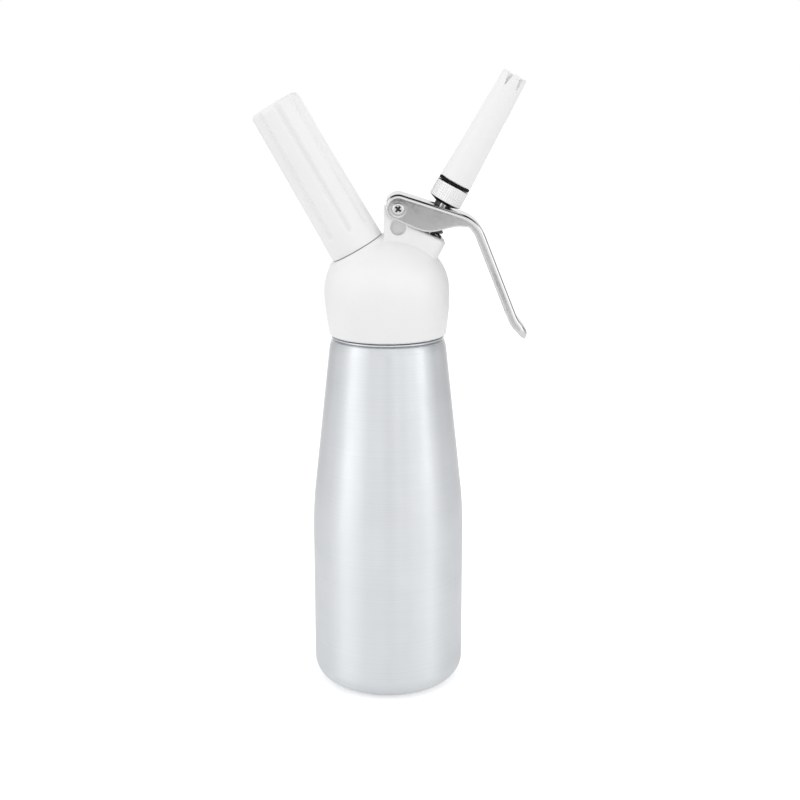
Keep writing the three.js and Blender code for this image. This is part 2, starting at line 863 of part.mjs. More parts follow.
// One notch between two teeth, pointing out from the axis
function toothNotch(angle, end) {
  const half = tipNotchWidth / 2;
  const bottom = -tipNotchDepth + tipNotchRound;
  const outline = new THREE.Shape();
  outline.moveTo(half, overrun);
  outline.lineTo(-half, overrun);
  outline.lineTo(-half, 0);
  outline.lineTo(-tipNotchRound, bottom);
  outline.absarc(0, bottom, tipNotchRound, 180 * degree, 360 * degree, false);
  outline.lineTo(half, 0);
  outline.closePath();
  const notch = new THREE.ExtrudeGeometry(outline, {
    depth: tipBaseRadius, bevelEnabled: false, curveSegments: 4 });
  const radial = new THREE.Vector3(Math.cos(angle), Math.sin(angle), 0);
  const tangent = new THREE.Vector3(-Math.sin(angle), Math.cos(angle), 0);
  const frame = new THREE.Matrix4().makeBasis(tangent, new THREE.Vector3(0, 0, 1), radial);
  return notch.applyMatrix4(frame.setPosition(0, 0, end));
}

function decoratingTip() {
  const end = tipStart + tipLength;
  const socketRadiusHere = adapterStubRadius + gap;
  const socketEnd = tipStart + tipSocketDepth;
  const outerAt = (height) => (
    tipBaseRadius + (tipEndRadius - tipBaseRadius) * (height - tipStart) / tipLength);
  const throat = socketEnd + tipSocketShoulder;
  const body = toSolid(turnedRing([
    [socketRadiusHere, tipStart],
    [tipBaseRadius - tipEndLip, tipStart],
    [tipBaseRadius, tipStart + tipEndLip],
    [outerAt(end - tipNotchDepth), end - tipNotchDepth],
    [tipEndRadius, end - tipEndLip],
    [tipEndRadius - tipEndLip, end],
    [tipEndRadius - tipWall, end],
    [outerAt(throat) - 2 * tipWall, throat],
    [socketRadiusHere, socketEnd],
  ], smallSides));
  const notches = [];
  for (let i = 0; i < tipTeeth; i += 1) {
    const angle = -90 * degree + tipToothTurn + (i + 1 / 2) * 360 * degree / tipTeeth;
    notches.push(toothNotch(angle, end));
  }
  return toGeometry(cutFrom(body, notches));
}

// Lever: the outer line of the web with its heading, from the wrapped end to the handle's tip
function leverPath() {
  const stations = [];
  const normalAngle = 90 * degree - leverWebTilt;
  const wrapSteps = 6;
  for (let i = 0; i <= wrapSteps; i += 1) {
    const angle = leverWrapAngle + (normalAngle - leverWrapAngle) * i / wrapSteps;
    stations.push({
      x: pivotX + leverWebReach * Math.cos(angle),
      height: pivotHeight + leverWebReach * Math.sin(angle),
      normal: angle,
    });
  }
  const forward = (length) => {
    const last = stations[stations.length - 1];
    stations.push({
      x: last.x + length * Math.sin(last.normal),
      height: last.height - length * Math.cos(last.normal),
      normal: last.normal,
    });
  };
  const turnBy = (turn, radius, steps) => {
    for (let i = 0; i < steps; i += 1) {
      const last = stations[stations.length - 1];
      const half = turn / steps / 2;
      const chord = 2 * radius * Math.sin(Math.abs(half));
      const heading = last.normal - half;
      stations.push({
        x: last.x + chord * Math.sin(heading),
        height: last.height - chord * Math.cos(heading),
        normal: last.normal - 2 * half,
      });
    }
  };
  forward(leverWebLength);
  turnBy(leverBendTurn, leverBendRadius, 6);
  forward(leverHandleLength);
  turnBy(-leverCurlTurn, leverCurlRadius, 3);
  forward(leverTipLength - leverEndReach);
  const bodyStations = stations.length;
  const endSteps = 3;
  for (let i = 0; i < endSteps; i += 1) forward(leverEndReach / endSteps);
  turnBy(leverLipTurn, leverLipRadius, 5);
  forward(leverLipLength);
  return stations.map((station, i) => {
    const lip = Math.max(0, i + 1 - bodyStations) / (stations.length - bodyStations);
    const tip = i + 1 >= bodyStations;
    return {
      ...station,
      depth: tip ? leverTipFlangeDepth : leverFlangeDepth,
      half: leverHalfWidth - leverEndRound * (1 - Math.sqrt(1 - (lip * leverLipShare) ** 2)),
    };
  });
}

// The channel's section as pairs across and along the normal, zero at the outer face
function channelSection(half, depth) {
  const inner = leverFoldRadius - leverSheet;
  const fold = half - leverFoldRadius;
  const outerRight = arc(fold, -leverFoldRadius, leverFoldRadius, 0, 90 * degree, 3);
  const innerRight = arc(fold, -leverFoldRadius, inner, 90 * degree, 0, 2);
  const mirrored = (points) => points.map(([across, along]) => [-across, along]).reverse();
  return [
    [half, -depth],
    ...outerRight,
    ...mirrored(outerRight),
    [-half, -depth],
    [-half + leverSheet, -depth],
    ...mirrored(innerRight),
    ...innerRight,
    [half - leverSheet, -depth],
  ];
}

function leverChannel() {
  const corners = [];
  const sections = leverPath().map((station) => {
    const section = channelSection(station.half, station.depth);
    section.forEach(([across, along]) => {
      corners.push(
        station.x + along * Math.cos(station.normal),
        across,
        station.height + along * Math.sin(station.normal),
      );
    });
    return section;
  });
  const count = sections[0].length;
  const faces = [];
  for (let i = 0; i + 1 < sections.length; i += 1) {
    for (let k = 0; k < count; k += 1) {
      const next = (k + 1) % count;
      const a = i * count + k;
      const b = i * count + next;
      const c = (i + 1) * count + next;
      const d = (i + 1) * count + k;
      faces.push(a, b, c, a, c, d);
    }
  }
  const flat = (section) => section.map(([across, along]) => new THREE.Vector2(across, along));
  const lastStart = (sections.length - 1) * count;
  THREE.ShapeUtils.triangulateShape(flat(sections[0]), []).forEach(([a, b, c]) => {
    faces.push(a, c, b);
  });
  THREE.ShapeUtils.triangulateShape(flat(sections[sections.length - 1]), []).forEach(([a, b, c]) => {
    faces.push(lastStart + a, lastStart + b, lastStart + c);
  });
  const geometry = new THREE.BufferGeometry();
  geometry.setAttribute('position', new THREE.Float32BufferAttribute(corners, 3));
  geometry.setIndex(faces);
  return geometry;
}

// A point of the lever's side, from its place along the web and its depth under the web's face
function webPoint(along, depth) {
  const tilt = -leverWebTilt;
  const rise = leverWebReach - depth;
  return [
    pivotX + along * Math.cos(tilt) - rise * Math.sin(tilt),
    pivotHeight + along * Math.sin(tilt) + rise * Math.cos(tilt),
  ];
}

// The lower edge of an ear, as shares of the web's length and of the ear's depth
const earEdgeShares = [
  [0.198, 1.015], [0.395, 1.055], [0.542, 1.03], [0.66, 0.925], [0.763, 0.785],
  [0.859, 0.64], [0.978, 0.49], [1.07, 0.43], [1.15, 0.4],
];

function leverEar(fromY, toY) {
  const inset = leverFoldRadius + leverFoldInset;
  const outline = new THREE.Shape();
  const edge = earEdgeShares.map(([alongShare, depthShare]) => new THREE.Vector2(
    ...webPoint(leverWebLength * alongShare, earDepth * depthShare)));
  const topAngle = 90 * degree - leverWebTilt;
  outline.moveTo(...webPoint(leverWebLength, inset));
  outline.lineTo(...webPoint(0, inset));
  outline.absarc(pivotX, pivotHeight, leverWebReach - inset, topAngle, leverWrapAngle, false);
  outline.absarc(pivotX, pivotHeight, earRadius, leverWrapAngle, earEndAngle, false);
  outline.splineThru(edge);
  outline.closePath();
  return sidePlate(outline, fromY, toY, 8);
}

function webSlot() {
  const round = slotHalfWidth;
  const outline = new THREE.Shape();
  outline.absarc(slotStart + round, 0, round, 90 * degree, 270 * degree, false);
  outline.absarc(slotEnd - round, 0, round, -90 * degree, 90 * degree, false);
  outline.closePath();
  const slot = new THREE.ExtrudeGeometry(outline, {
    depth: leverSheet + 2 * overrun, bevelEnabled: false, curveSegments: 10 });
  const base = leverWebReach - leverSheet - overrun;
  return slot.translate(0, 0, base).rotateY(leverWebTilt).translate(pivotX, 0, pivotHeight);
}

function lever() {
  const inner = leverHalfWidth - leverSheet;
  const reach = leverHalfWidth + overrun;
  const sheet = joined([
    leverChannel(),
    leverEar(-leverHalfWidth, -inner),
    leverEar(inner, leverHalfWidth),
  ]);
  return toGeometry(cutFrom(sheet, [
    webSlot(),
    crossPin(barrelRadius + gap, pivotX, pivotHeight, -reach, reach),
  ]));
}

// Pivot pin, turned about an axis that is then laid along Y
function alongY(geometry) {
  return geometry.rotateX(-Math.PI / 2).translate(pivotX, 0, pivotHeight);
}

function pivotBarrel() {
  const headStart = leverHalfWidth + gap;
  const headEnd = headStart + barrelHeadThickness;
  const rim = headStart + barrelHeadThickness / 2;
  return alongY(turned([
    [0, barrelBoreEnd],
    [barrelBore, barrelBoreEnd],
    [barrelBore, gap - leverHalfWidth],
    [barrelRadius, gap - leverHalfWidth],
    [barrelRadius, headStart],
    [barrelHeadRadius, headStart],
    [barrelHeadRadius, rim],
    [barrelHeadRadius - barrelHeadThickness / 2, headEnd],
    [0, headEnd],
  ], pinSides));
}

function pivotScrew() {
  const headStart = -leverHalfWidth - gap;
  const headEnd = headStart - screwHeadThickness;
  const rim = headStart - screwHeadThickness / 2;
  const screw = toSolid(alongY(turned([
    [0, headEnd],
    [screwHeadRadius - screwHeadThickness / 2, headEnd],
    [screwHeadRadius, rim],
    [screwHeadRadius, headStart],
    [screwShankRadius, headStart],
    [screwShankRadius, headStart + screwShankLength],
    [0, headStart + screwShankLength],
  ], pinSides)));
  const cross = [0, 90 * degree].map((turn) => new THREE.BoxGeometry(
    screwCrossLength, 2 * screwCrossDepth, screwCrossWidth)
    .rotateY(turn).translate(pivotX, headEnd, pivotHeight));
  return toGeometry(cutFrom(screw, cross));
}

// The whole dispenser
function piece(name, geometry, material) {
  const mesh = new THREE.Mesh(geometry, material);
  mesh.name = name;
  return mesh;
}

const dispenser = new THREE.Group();
dispenser.add(
  piece('bottle', bottle(), satinAluminium),
  piece('head_gasket', headGasket(), greyRubber),
  piece('head_shell', headShell(), whitePlastic),
  piece('lever', lever(), polishedSteel),
  piece('pivot_barrel', pivotBarrel(), polishedSteel),
  piece('pivot_screw', pivotScrew(), polishedSteel),
);

const holderAxis = new THREE.Group();
holderAxis.position.set(seamX, 0, seamHeight);
holderAxis.rotation.y = -holderTilt;
holderAxis.add(
  piece('charger_port', chargerPort(), brass),
  piece('port_nut', portNut(), brass),
  piece('port_seal', portSeal(), greyRubber),
  piece('piercing_pin', piercingPin(), darkSteel),
  piece('check_valve', checkValve(), greyRubber),
  piece('charger_holder', chargerHolder(), whitePlastic),
  piece('gas_charger', gasCharger(), darkSteel),
);

const valveAxis = new THREE.Group();
valveAxis.position.set(bossX, 0, bossHeight);
valveAxis.rotation.y = valveTilt;
valveAxis.add(
  piece('valve_stem', valveStem(), knurledMetal),
  piece('piston_seal', pistonSeal(), blackRubber),
  piece('stem_oring', stemRing(), blackRubber),
  piece('valve_bush', valveBush(), brass),
  piece('valve_spring', valveSpring(), darkSteel),
  piece('spring_collar', springCollar(), darkSteel),
  piece('tip_adapter', tipAdapter(), knurledMetal),
  piece('tip_oring', tipRing(), blackRubber),
  piece('decorating_tip', decoratingTip(), whitePlastic),
);
dispenser.add(holderAxis, valveAxis);

export default dispenser;
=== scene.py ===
# Whipped cream dispenser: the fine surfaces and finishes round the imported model.
# Sizes are millimetres and become metres where a mesh is made. +Z up, +X towards the lever.
import math

import bmesh
import bpy
import numpy as np
from mathutils import Matrix, Vector

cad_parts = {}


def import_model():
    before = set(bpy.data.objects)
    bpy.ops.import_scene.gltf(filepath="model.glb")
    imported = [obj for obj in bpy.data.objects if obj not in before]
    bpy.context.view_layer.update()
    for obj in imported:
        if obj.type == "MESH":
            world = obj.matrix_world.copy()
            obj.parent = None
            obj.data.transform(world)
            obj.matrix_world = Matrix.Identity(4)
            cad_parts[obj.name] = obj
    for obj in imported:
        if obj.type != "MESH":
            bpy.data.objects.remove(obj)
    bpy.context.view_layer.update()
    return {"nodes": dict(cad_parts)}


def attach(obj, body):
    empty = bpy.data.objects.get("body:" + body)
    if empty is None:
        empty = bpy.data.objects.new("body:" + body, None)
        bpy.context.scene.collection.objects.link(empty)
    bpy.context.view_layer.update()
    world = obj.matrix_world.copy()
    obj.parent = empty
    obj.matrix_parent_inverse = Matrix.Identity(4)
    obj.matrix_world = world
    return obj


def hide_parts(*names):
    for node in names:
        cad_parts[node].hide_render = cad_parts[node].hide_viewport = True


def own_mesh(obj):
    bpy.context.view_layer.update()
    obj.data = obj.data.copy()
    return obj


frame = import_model()

MM = 0.001
DEGREE = math.pi / 180
TURN = 2 * math.pi

# Clearance between pieces that touch
GAP = 0.3

# Bottle
BOTTLE_RADIUS = 40.0
BOTTLE_WALL = 1.4
BOTTLE_FLOOR = 2.0
BASE_CORNER = 11.0
CONE_START = 96.0
CONE_BLEND = 12.0
SHOULDER_RADIUS = 30.6
SHOULDER_HEIGHT = 181.0
LEDGE_RADIUS = 27.4
LEDGE_HEIGHT = 188.0
BEAD_RADIUS = 28.9
BEAD_HEIGHT = 188.33
BEAD_ROUND = 0.38
BEAD_GROOVE = 2.0
BEAD_START = -95 * DEGREE
BEAD_END = 120 * DEGREE
BASE_SHARES = (0, 0.5, 0.96)
WALL_RINGS = 6
WALL_RING_SPACE = 4.0
SHOULDER_LINE = 184.2
SHOULDER_LINE_DEPTH = 0.1
SHOULDER_LINE_HALF = 0.22
NECK_RADIUS = 23.2
MOUTH_RADIUS = 20.6
MOUTH_HEIGHT = 205.5
MOUTH_LIP = 0.8
THREAD_DEPTH = 0.85
THREAD_PITCH = 4.0
THREAD_TURNS = 2.6
THREAD_CLEARANCE = 0.5
THREAD_ROWS = 44

# A thread's ridge: where it rises and how steeply, as shares of a turn, and how it runs out
RIDGE_VALLEY = 0.35
RIDGE_SLOPE = 0.4
RIDGE_RUN_OUT = 1.2

# Head
HEAD_FLOOR = LEDGE_HEIGHT + 1.35
HEAD_RIM_RADIUS = 30.2
HEAD_RIM_ROUND = 0.6
DOME_RADIUS = 32.4
DOME_BASE = 211.0
DOME_RISE = 28.5
DOME_FULLNESS = 2.2
DOME_LEAN = 0.5
GASKET_THICKNESS = 2.5
GASKET_EASE = 0.5
HEAD_SEAT = MOUTH_HEIGHT + GASKET_THICKNESS + 2 * GAP
CAVITY_RADIUS = 19.5
CAVITY_HEIGHT = 222.0
CAVITY_ROUND = 4.0
BORE_PAST = 5.0
HEAD_THREAD_DEPTH = 0.45
HEAD_THREAD_VALLEY = 0.4
HEAD_THREAD_START = 3.0
HEAD_THREAD_END = 1.5
DOME_CORE = 0.02
HEAD_EDGE = 0.3
NECK_BORE_EDGE = 0.5
PIN_HOLE_EDGE = 0.25

# Charger port and holder
HOLDER_TILT = 30 * DEGREE
SEAM_X = -15.6
SEAM_HEIGHT = 234.4
HOLDER_LENGTH = 83.0
HOLDER_BASE = 14.5
HOLDER_TOP = 13.35
HOLDER_TOP_ROUND = 3.0
HOLDER_TOP_SHARES = (0.96, 0.9, 0.8, 0.6, 0.3)
HOLDER_MOUTH_RUN = 1.5
HOLDER_MOUTH_EASE = 0.35
HOLDER_BORE_TOP = 85 * DEGREE
HOLDER_GROOVES = 8
GROOVE_TURN = 8.5 * DEGREE
GROOVE_WIDTH = 4.4
GROOVE_DEPTH = 1.45
GROOVE_START = 9.3
GROOVE_SHARE = 0.8
GROOVE_BLEND = 0.25
GROOVE_LEAST = 0.001
GROOVE_END = HOLDER_LENGTH - HOLDER_TOP_ROUND
PORT_BOSS = 14.7
PORT_FLARE = 3.5
PORT_FLANGE = 12.5
PORT_FLANGE_THICKNESS = 2.5
NIPPLE_RADIUS = 10.4
NIPPLE_LENGTH = 13.0
NIPPLE_CREST = NIPPLE_RADIUS - 0.1
PORT_EASE = 0.4
PORT_THREAD_START = 0.8
PORT_THREAD_END = 0.4
PORT_THREAD_ROWS = 60
PORT_SHANK = 6.0
PORT_SPOT = 11.0
PORT_SPOT_DEPTH = 12.5
PORT_NUT_APOTHEM = 8.5
PORT_NUT_THICKNESS = 3.4
PORT_NUT_CHAMFER = 0.5
PORT_NUT_EASE = 0.3
PORT_NUT_FACE_SHARE = 0.97
HALF_SIDE = 30 * DEGREE
SPIGOT_RADIUS = 3.2
SPIGOT_LENGTH = 4.4
GAS_PASSAGE = 1.0
SOCKET_RADIUS = 5.0
SOCKET_DEPTH = 7.0
PIN_SEAT_RADIUS = 2.9
PIN_SEAT_DEPTH = 4.0
PIN_BASE_HEIGHT = 3.0
PIN_RADIUS = 0.8
PIN_BORE = 0.35
PIN_EASE = 0.12
PORT_SEAL_THICKNESS = 2.3
PORT_SEAL_BORE = 2.0
PORT_SEAL_EASE = 0.35
CHECK_VALVE_WALL = 1.3
CHECK_VALVE_EASE = 0.5
CHECK_VALVE_SLIT = 0.2

# The wall of the holder in stretches: start, end and rows, closest where its grooves end
HOLDER_STRETCHES = (
    (2.2, GROOVE_START - 0.5, 6), (GROOVE_START - 0.2, GROOVE_START + 3, 17),
    (GROOVE_START + 4, GROOVE_END - 2, 24), (GROOVE_END - 1.6, GROOVE_END - 0.2, 6),
)

# Gas charger
CHARGER_LENGTH = 65.5
CHARGER_RADIUS = 9.3
CHARGER_NECK = 4.35
CHARGER_NECK_LENGTH = 4.2
CHARGER_SHOULDER = 11.0
CHARGER_CAP_RIM = 1.1
CHARGER_CAP_SINK = 0.15
CHARGER_CAP_SLOPE = 0.4
CHARGER_NECK_EDGE = 0.2
CHARGER_EASE = 0.45
CHARGER_TOP = 88 * DEGREE

# Valve
VALVE_TILT = 29.1 * DEGREE
BOSS_X = 20.33
BOSS_HEIGHT = 242.25
STEM_RADIUS = 4.2
STEM_BORE = 2.2
STEM_TOP_REACH = 1.4
STEM_HOLE = 1.1
STEM_EASE = 0.3
# The stem's top end, left free of painted shade
STEM_UNSHADED_END = 0.5
PISTON_RADIUS = 7.8
PISTON_THICKNESS = 3.0
PISTON_SEAT = 19.0
PISTON_SEAL = 1.0
PISTON_SEAL_EASE = 0.25
SEAT_BORE = 8.4
BUSH_RADIUS = 6.0
BUSH_LENGTH = 11.4
BUSH_TOP = -1.5 * GAP
BUSH_EASE = 0.4
BUSH_BORE_DEPTH = 14.2
VALVE_BORE_PAST = 4.0
STEM_RING = 1.5
SPRING_LENGTH = 9.2
SPRING_WIRE = 1.3
SPRING_BASE = 7.8
SPRING_TOP = 6.2
SPRING_TURNS = 3.25
SPRING_STEPS = 48
SPRING_SIDES = 16
SPRING_CAP_STEPS = 4
SPRING_CAP_SHARE = 0.6
SPRING_CAP_LEAST = 0.02
COLLAR_THICKNESS = 2.2
COLLAR_RADIUS = 6.8
COLLAR_EASE = 0.45

# Adapter and tip
ADAPTER_START = 16.6
ADAPTER_CONE = 1.4
ADAPTER_CONE_TOP = 8.4
ADAPTER_MOUTH_LIP = 0.5
ADAPTER_EASE = 0.3
ADAPTER_CONE_EASE = 0.15
KNURL_HEIGHT = 9.0
KNURL_RADIUS = 8.7
KNURL_TEETH = 44
KNURL_PITCH = 1.25
KNURL_DEPTH = 0.22
KNURL_EDGE = 0.55
KNURL_FLAT = 0.6
KNURL_RINGS = 0.45
KNURL_LEAD = 0.1
KNURL_ROWS = 70
KNURL_TOOTH_SIDES = 12
STUB_RADIUS = 6.3
STUB_LENGTH = 9.0
ADAPTER_BORE = 3.2
TIP_RING = 1.5
TIP_BAND_RADIUS = 8.42
TIP_BAND_EDGE = 0.15
TIP_BAND_SHARE = 0.92
TIP_LENGTH = 60.2
TIP_BASE = 8.6
TIP_END = 6.4
TIP_WALL = 1.1
TIP_SOCKET_DEPTH = 8.0
TIP_SHOULDER = 1.5
TIP_STEP = 1.0
TIP_EASE = 0.3
TIP_LIP_EASE = 0.12
TIP_LIP_RISE = 0.001
TIP_WALL_ROWS = 22
TIP_BORE_ROWS = 12
TIP_TEETH = 6
TOOTH_TURN = 5 * DEGREE
TOOTH_DEPTH = 6.8
VALLEY_SHARE = 0.04
CREST_SHARE = 0.5
TOOTH_STRAIGHT_SHARE = 0.75
TOOTH_ROWS = 24
TOOTH_SIDES = 60

# Lever pivot, mount block and valve boss
PIVOT_X = 5.4
PIVOT_HEIGHT = 255.2
BLOCK_HALF = 10.0
BLOCK_WALL_X = -2.0
BLOCK_FOOT = 228.0
BLOCK_EDGE = 0.7
LUG_RADIUS = 4.9
LUG_END = -30 * DEGREE
LUG_ROOT_REACH = 11.0
BOSS_TILT = 27 * DEGREE
BOSS_SINK = -0.15
BOSS_REACH = 10.5
BOSS_BACK = 17.0
BOSS_CORNER = 5.0
BOSS_EDGE = 1.5
BOSS_DEPTH = 22.0
RECESS_RADIUS = 4.0
RECESS_DEPTH = 4.5
RECESS_DROP = 9.7
RECESS_ROUND = 0.4
BLOCK_FILLET = 0.9
BOSS_FILLET = 0.4

# Lever
LEVER_HALF = 12.0
LEVER_SHEET = 1.5
LEVER_FOLD = 2.0
LEVER_WEB_REACH = 7.0
LEVER_WEB_TILT = 17.6 * DEGREE
LEVER_WRAP = 150 * DEGREE
LEVER_WEB_LENGTH = 32.1
LEVER_BEND_RADIUS = 18.0
LEVER_BEND_TURN = 50.5 * DEGREE
LEVER_HANDLE = 44.5
LEVER_CURL_RADIUS = 14.0
LEVER_CURL_TURN = 17 * DEGREE
LEVER_TIP = 6.9
LEVER_FLANGE = 4.7
LEVER_END_TURN = 63 * DEGREE
LEVER_END_WALL = 5.4
LEVER_END_LAP = 4.0
LEVER_END_ROUND = 5.0
LEVER_END_FOLD = 2.3
LEVER_END_BLEND = 7.0
EAR_RADIUS = 6.1
EAR_DEPTH = 13.4
EAR_END = 265 * DEGREE
SLOT_START = 14.6
SLOT_END = 25.9
SLOT_HALF = 4.9
SLOT_RIM = 0.3
SLOT_RIM_WIDTH = 1.6
SLOT_CLEAR = 8.0
EAR_PAD_RADIUS = 4.4
EAR_PAD_RISE = 0.04
EAR_PAD_SLOPE = 0.6
EAR_TO_HANDLE = 2.5
SHEET_EDGE = 0.35
WRAP_STEPS = 10
BEND_STEPS = 8
CURL_STEPS = 4
LEVER_END_STEPS = 8
OUTLINE_STEPS = 6
OUTLINE_CLEAR = 3.0
LINE_RUN_ON = 20.0

# The lower edge of an ear, as shares of the web's length and of the ear's depth
EAR_EDGE_SHARES = (
    (0.198, 1.015), (0.395, 1.055), (0.542, 1.03), (0.66, 0.925), (0.763, 0.785),
    (0.859, 0.64), (0.978, 0.49), (1.07, 0.43), (1.15, 0.4),
)

# The lower edge of the handle's end, as places along from its corner and depths under its face
LEVER_END_EDGE = ((-5.0, 4.45), (-1.9, 4.35), (-0.5, 4.15), (1.46, 3.6), (2.9, 2.75))

# Pivot pin
BARREL_RADIUS = 2.5
BARREL_BORE = 1.8
BARREL_BORE_END = 6.0
BARREL_HEAD = 3.6
BARREL_HEAD_THICKNESS = 1.6
BARREL_EASE = 0.25
BARREL_SIDE_SHARE = 0.35
BARREL_CORNER_SHARE = 0.96
BARREL_FLAT_SHARE = 0.55
BARREL_CROWN_STEPS = 12
SCREW_HEAD = 3.1
SCREW_HEAD_THICKNESS = 1.9
SCREW_SHANK = 1.5
SCREW_SHANK_LENGTH = 14.0
SCREW_EASE = 0.3
SCREW_SIDE_SHARE = 0.4
SCREW_CORNER_SHARE = 0.97
SCREW_FLAT_SHARE = 0.5
SCREW_CROWN_STEPS = 14
CROSS_WIDTH = 1.0
CROSS_LENGTH = 3.5
CROSS_DEPTH = 1.2
CROSS_TURN = 40 * DEGREE
CROSS_PAST = 0.5
CROSS_RIM = 0.1
# The cross's thin top edge, left free of painted shade
CROSS_UNSHADED_EDGE = 0.2

# The funnel in the middle of the cross: its radii in widths and its depth in depths of the cross
FUNNEL_TOP_SHARE = 1.15
FUNNEL_FLOOR_SHARE = 0.7
FUNNEL_DEPTH_SHARE = 1.2

# Sizes of the meshes' steps
FINE_SIDES = 192
SMALL_SIDES = 96
DRILL_SIDES = 32
TUBE_SIDES = 20
HEAD_VOXEL = 0.42
LEVER_VOXEL = 0.38
SHADING_WEIGHT = 60
TINY = 1e-9

# An eased corner takes at most this share of a stretch, and none of a nearly straight corner
CORNER_SHARE = 0.45
STRAIGHT_CORNER = -0.97
SMALLEST_EASE = 0.01

# How mesh points settle onto a surface
PROBE = 0.02
SETTLE_ROUNDS = 5
SETTLE_REACH = 0.6
FLATTEST_SLOPE = 0.05


def tilted(x, height, tilt):
    return Matrix.Translation((x, 0, height)) @ Matrix.Rotation(tilt, 4, "Y")


UPRIGHT = Matrix.Identity(4)
HOLDER_AXIS = tilted(SEAM_X, SEAM_HEIGHT, -HOLDER_TILT)
VALVE_AXIS = tilted(BOSS_X, BOSS_HEIGHT, VALVE_TILT)
BOSS_AXIS = tilted(BOSS_X, BOSS_HEIGHT, BOSS_TILT) @ Matrix.Translation((0, 0, -BOSS_SINK))
PIVOT_AXIS = Matrix.Translation((PIVOT_X, 0, PIVOT_HEIGHT)) @ Matrix.Rotation(-math.pi / 2, 4, "X")


def linked(name, data):
    """A new object in the scene."""
    piece = bpy.data.objects.new(name, data)
    bpy.context.scene.collection.objects.link(piece)
    return piece


def evaluated_mesh(piece):
    """The piece's mesh with its modifiers applied."""
    bpy.context.view_layer.update()
    evaluated = piece.evaluated_get(bpy.context.evaluated_depsgraph_get())
    return bpy.data.meshes.new_from_object(evaluated)


# Meshes from points in millimetres
def make_object(name, points, faces, smooth=True):
    mesh = bpy.data.meshes.new(name)
    mesh.from_pydata((np.asarray(points) * MM).tolist(), [], faces)
    mesh.validate()
    mesh.update()
    mesh.shade_smooth() if smooth else mesh.shade_flat()
    return linked(name, mesh)


def placed(points, matrix):
    turn = np.array(matrix.to_3x3())
    return np.asarray(points) @ turn.T + np.array(matrix.translation)


def arc(centre, radius, start, end, steps):
    angles = np.linspace(start, end, steps + 1)
    return [(centre[0] + radius * math.cos(a), centre[1] + radius * math.sin(a)) for a in angles]


def bend(start, control, end, steps):
    points = []
    for share in np.linspace(0, 1, steps + 1):
        back = 1 - share
        points.append(tuple(
            back * back * start[i] + 2 * back * share * control[i] + share * share * end[i]
            for i in range(2)))
    return points


def eased(profile, ease, steps=3, closed=False):
    """The profile with each corner rounded off by a small curve."""
    count = len(profile)
    points = []
    for i in range(count):
        here = np.array(profile[i])
        if not closed and i in (0, count - 1):
            points.append(tuple(here))
            continue
        before = np.array(profile[i - 1])
        after = np.array(profile[(i + 1) % count])
        back = before - here
        on = after - here
        back_length = np.linalg.norm(back)
        on_length = np.linalg.norm(on)
        reach = min(ease, back_length * CORNER_SHARE, on_length * CORNER_SHARE)
        if reach < SMALLEST_EASE or back @ on / (back_length * on_length) < STRAIGHT_CORNER:
            points.append(tuple(here))
            continue
        start = here + back / back_length * reach
        end = here + on / on_length * reach
        points.extend(bend(start, here, end, steps))
    return points


def turned(name, profile, sides=FINE_SIDES, axis=UPRIGHT, relief=None, closed=False):
    """A body of revolution. relief(angles, row, radius, height) may give other radii and heights."""
    angles = np.linspace(0, TURN, sides, endpoint=False)
    rows = []
    points = []
    for row, (radius, height) in enumerate(profile):
        if radius < TINY:
            rows.append([len(points)] * sides)
            points.append((0, 0, height))
            continue
        radii = np.full(sides, radius)
        heights = np.full(sides, height)
        if relief:
            radii, heights = relief(angles, row, radii, heights)
        rows.append(list(range(len(points), len(points) + sides)))
        points.extend(zip(radii * np.cos(angles), radii * np.sin(angles), heights))
    faces = []
    pairs = list(zip(rows, rows[1:]))
    if closed:
        pairs.append((rows[-1], rows[0]))
    for low, high in pairs:
        for i in range(sides):
            j = (i + 1) % sides
            corners = [low[i], low[j], high[j], high[i]]
            face = [c for k, c in enumerate(corners) if c != corners[k - 1]]
            if len(face) > 2:
                faces.append(face)
    return make_object(name, placed(points, axis), faces)


def ring_section(inner, outer, bottom, top, ease):
    return eased([(inner, bottom), (outer, bottom), (outer, top), (inner, top)], ease, closed=True)


# Bottle
def cone_radius(height):
    share = (height - CONE_START) / (SHOULDER_HEIGHT - CONE_START)
    return BOTTLE_RADIUS + (SHOULDER_RADIUS - BOTTLE_RADIUS) * share


def thread_relief(start, end, core, crest, pitch):
    """Radii of a helical ridge between two heights, fading in and out."""
    def relief(angles, row, radii, heights):
        height = heights[0]
        if not start <= height <= end or abs(radii[0] - core) > TINY:
            return radii, heights
        wave = np.abs(((height - start) / pitch - angles / TURN) % 1 - 0.5) * 2
        ridge = np.clip((wave - RIDGE_VALLEY) / RIDGE_SLOPE, 0, 1)
        ends = min(1, (height - start) / RIDGE_RUN_OUT, (end - height) / RIDGE_RUN_OUT)
        return radii + (crest - core) * ridge * max(ends, 0), heights
    return relief


def lined(curve):
    """The shoulder's curve with a fine turned line round it."""
    radii, heights = zip(*curve)
    line = [(np.interp(SHOULDER_LINE + step * SHOULDER_LINE_HALF, heights, radii) - depth,
             SHOULDER_LINE + step * SHOULDER_LINE_HALF)
            for step, depth in ((-1, 0), (0, SHOULDER_LINE_DEPTH), (1, 0))]
    under = [p for p in curve if p[1] < SHOULDER_LINE - SHOULDER_LINE_HALF]
    over = [p for p in curve if p[1] > SHOULDER_LINE + SHOULDER_LINE_HALF]
    return under + line + over


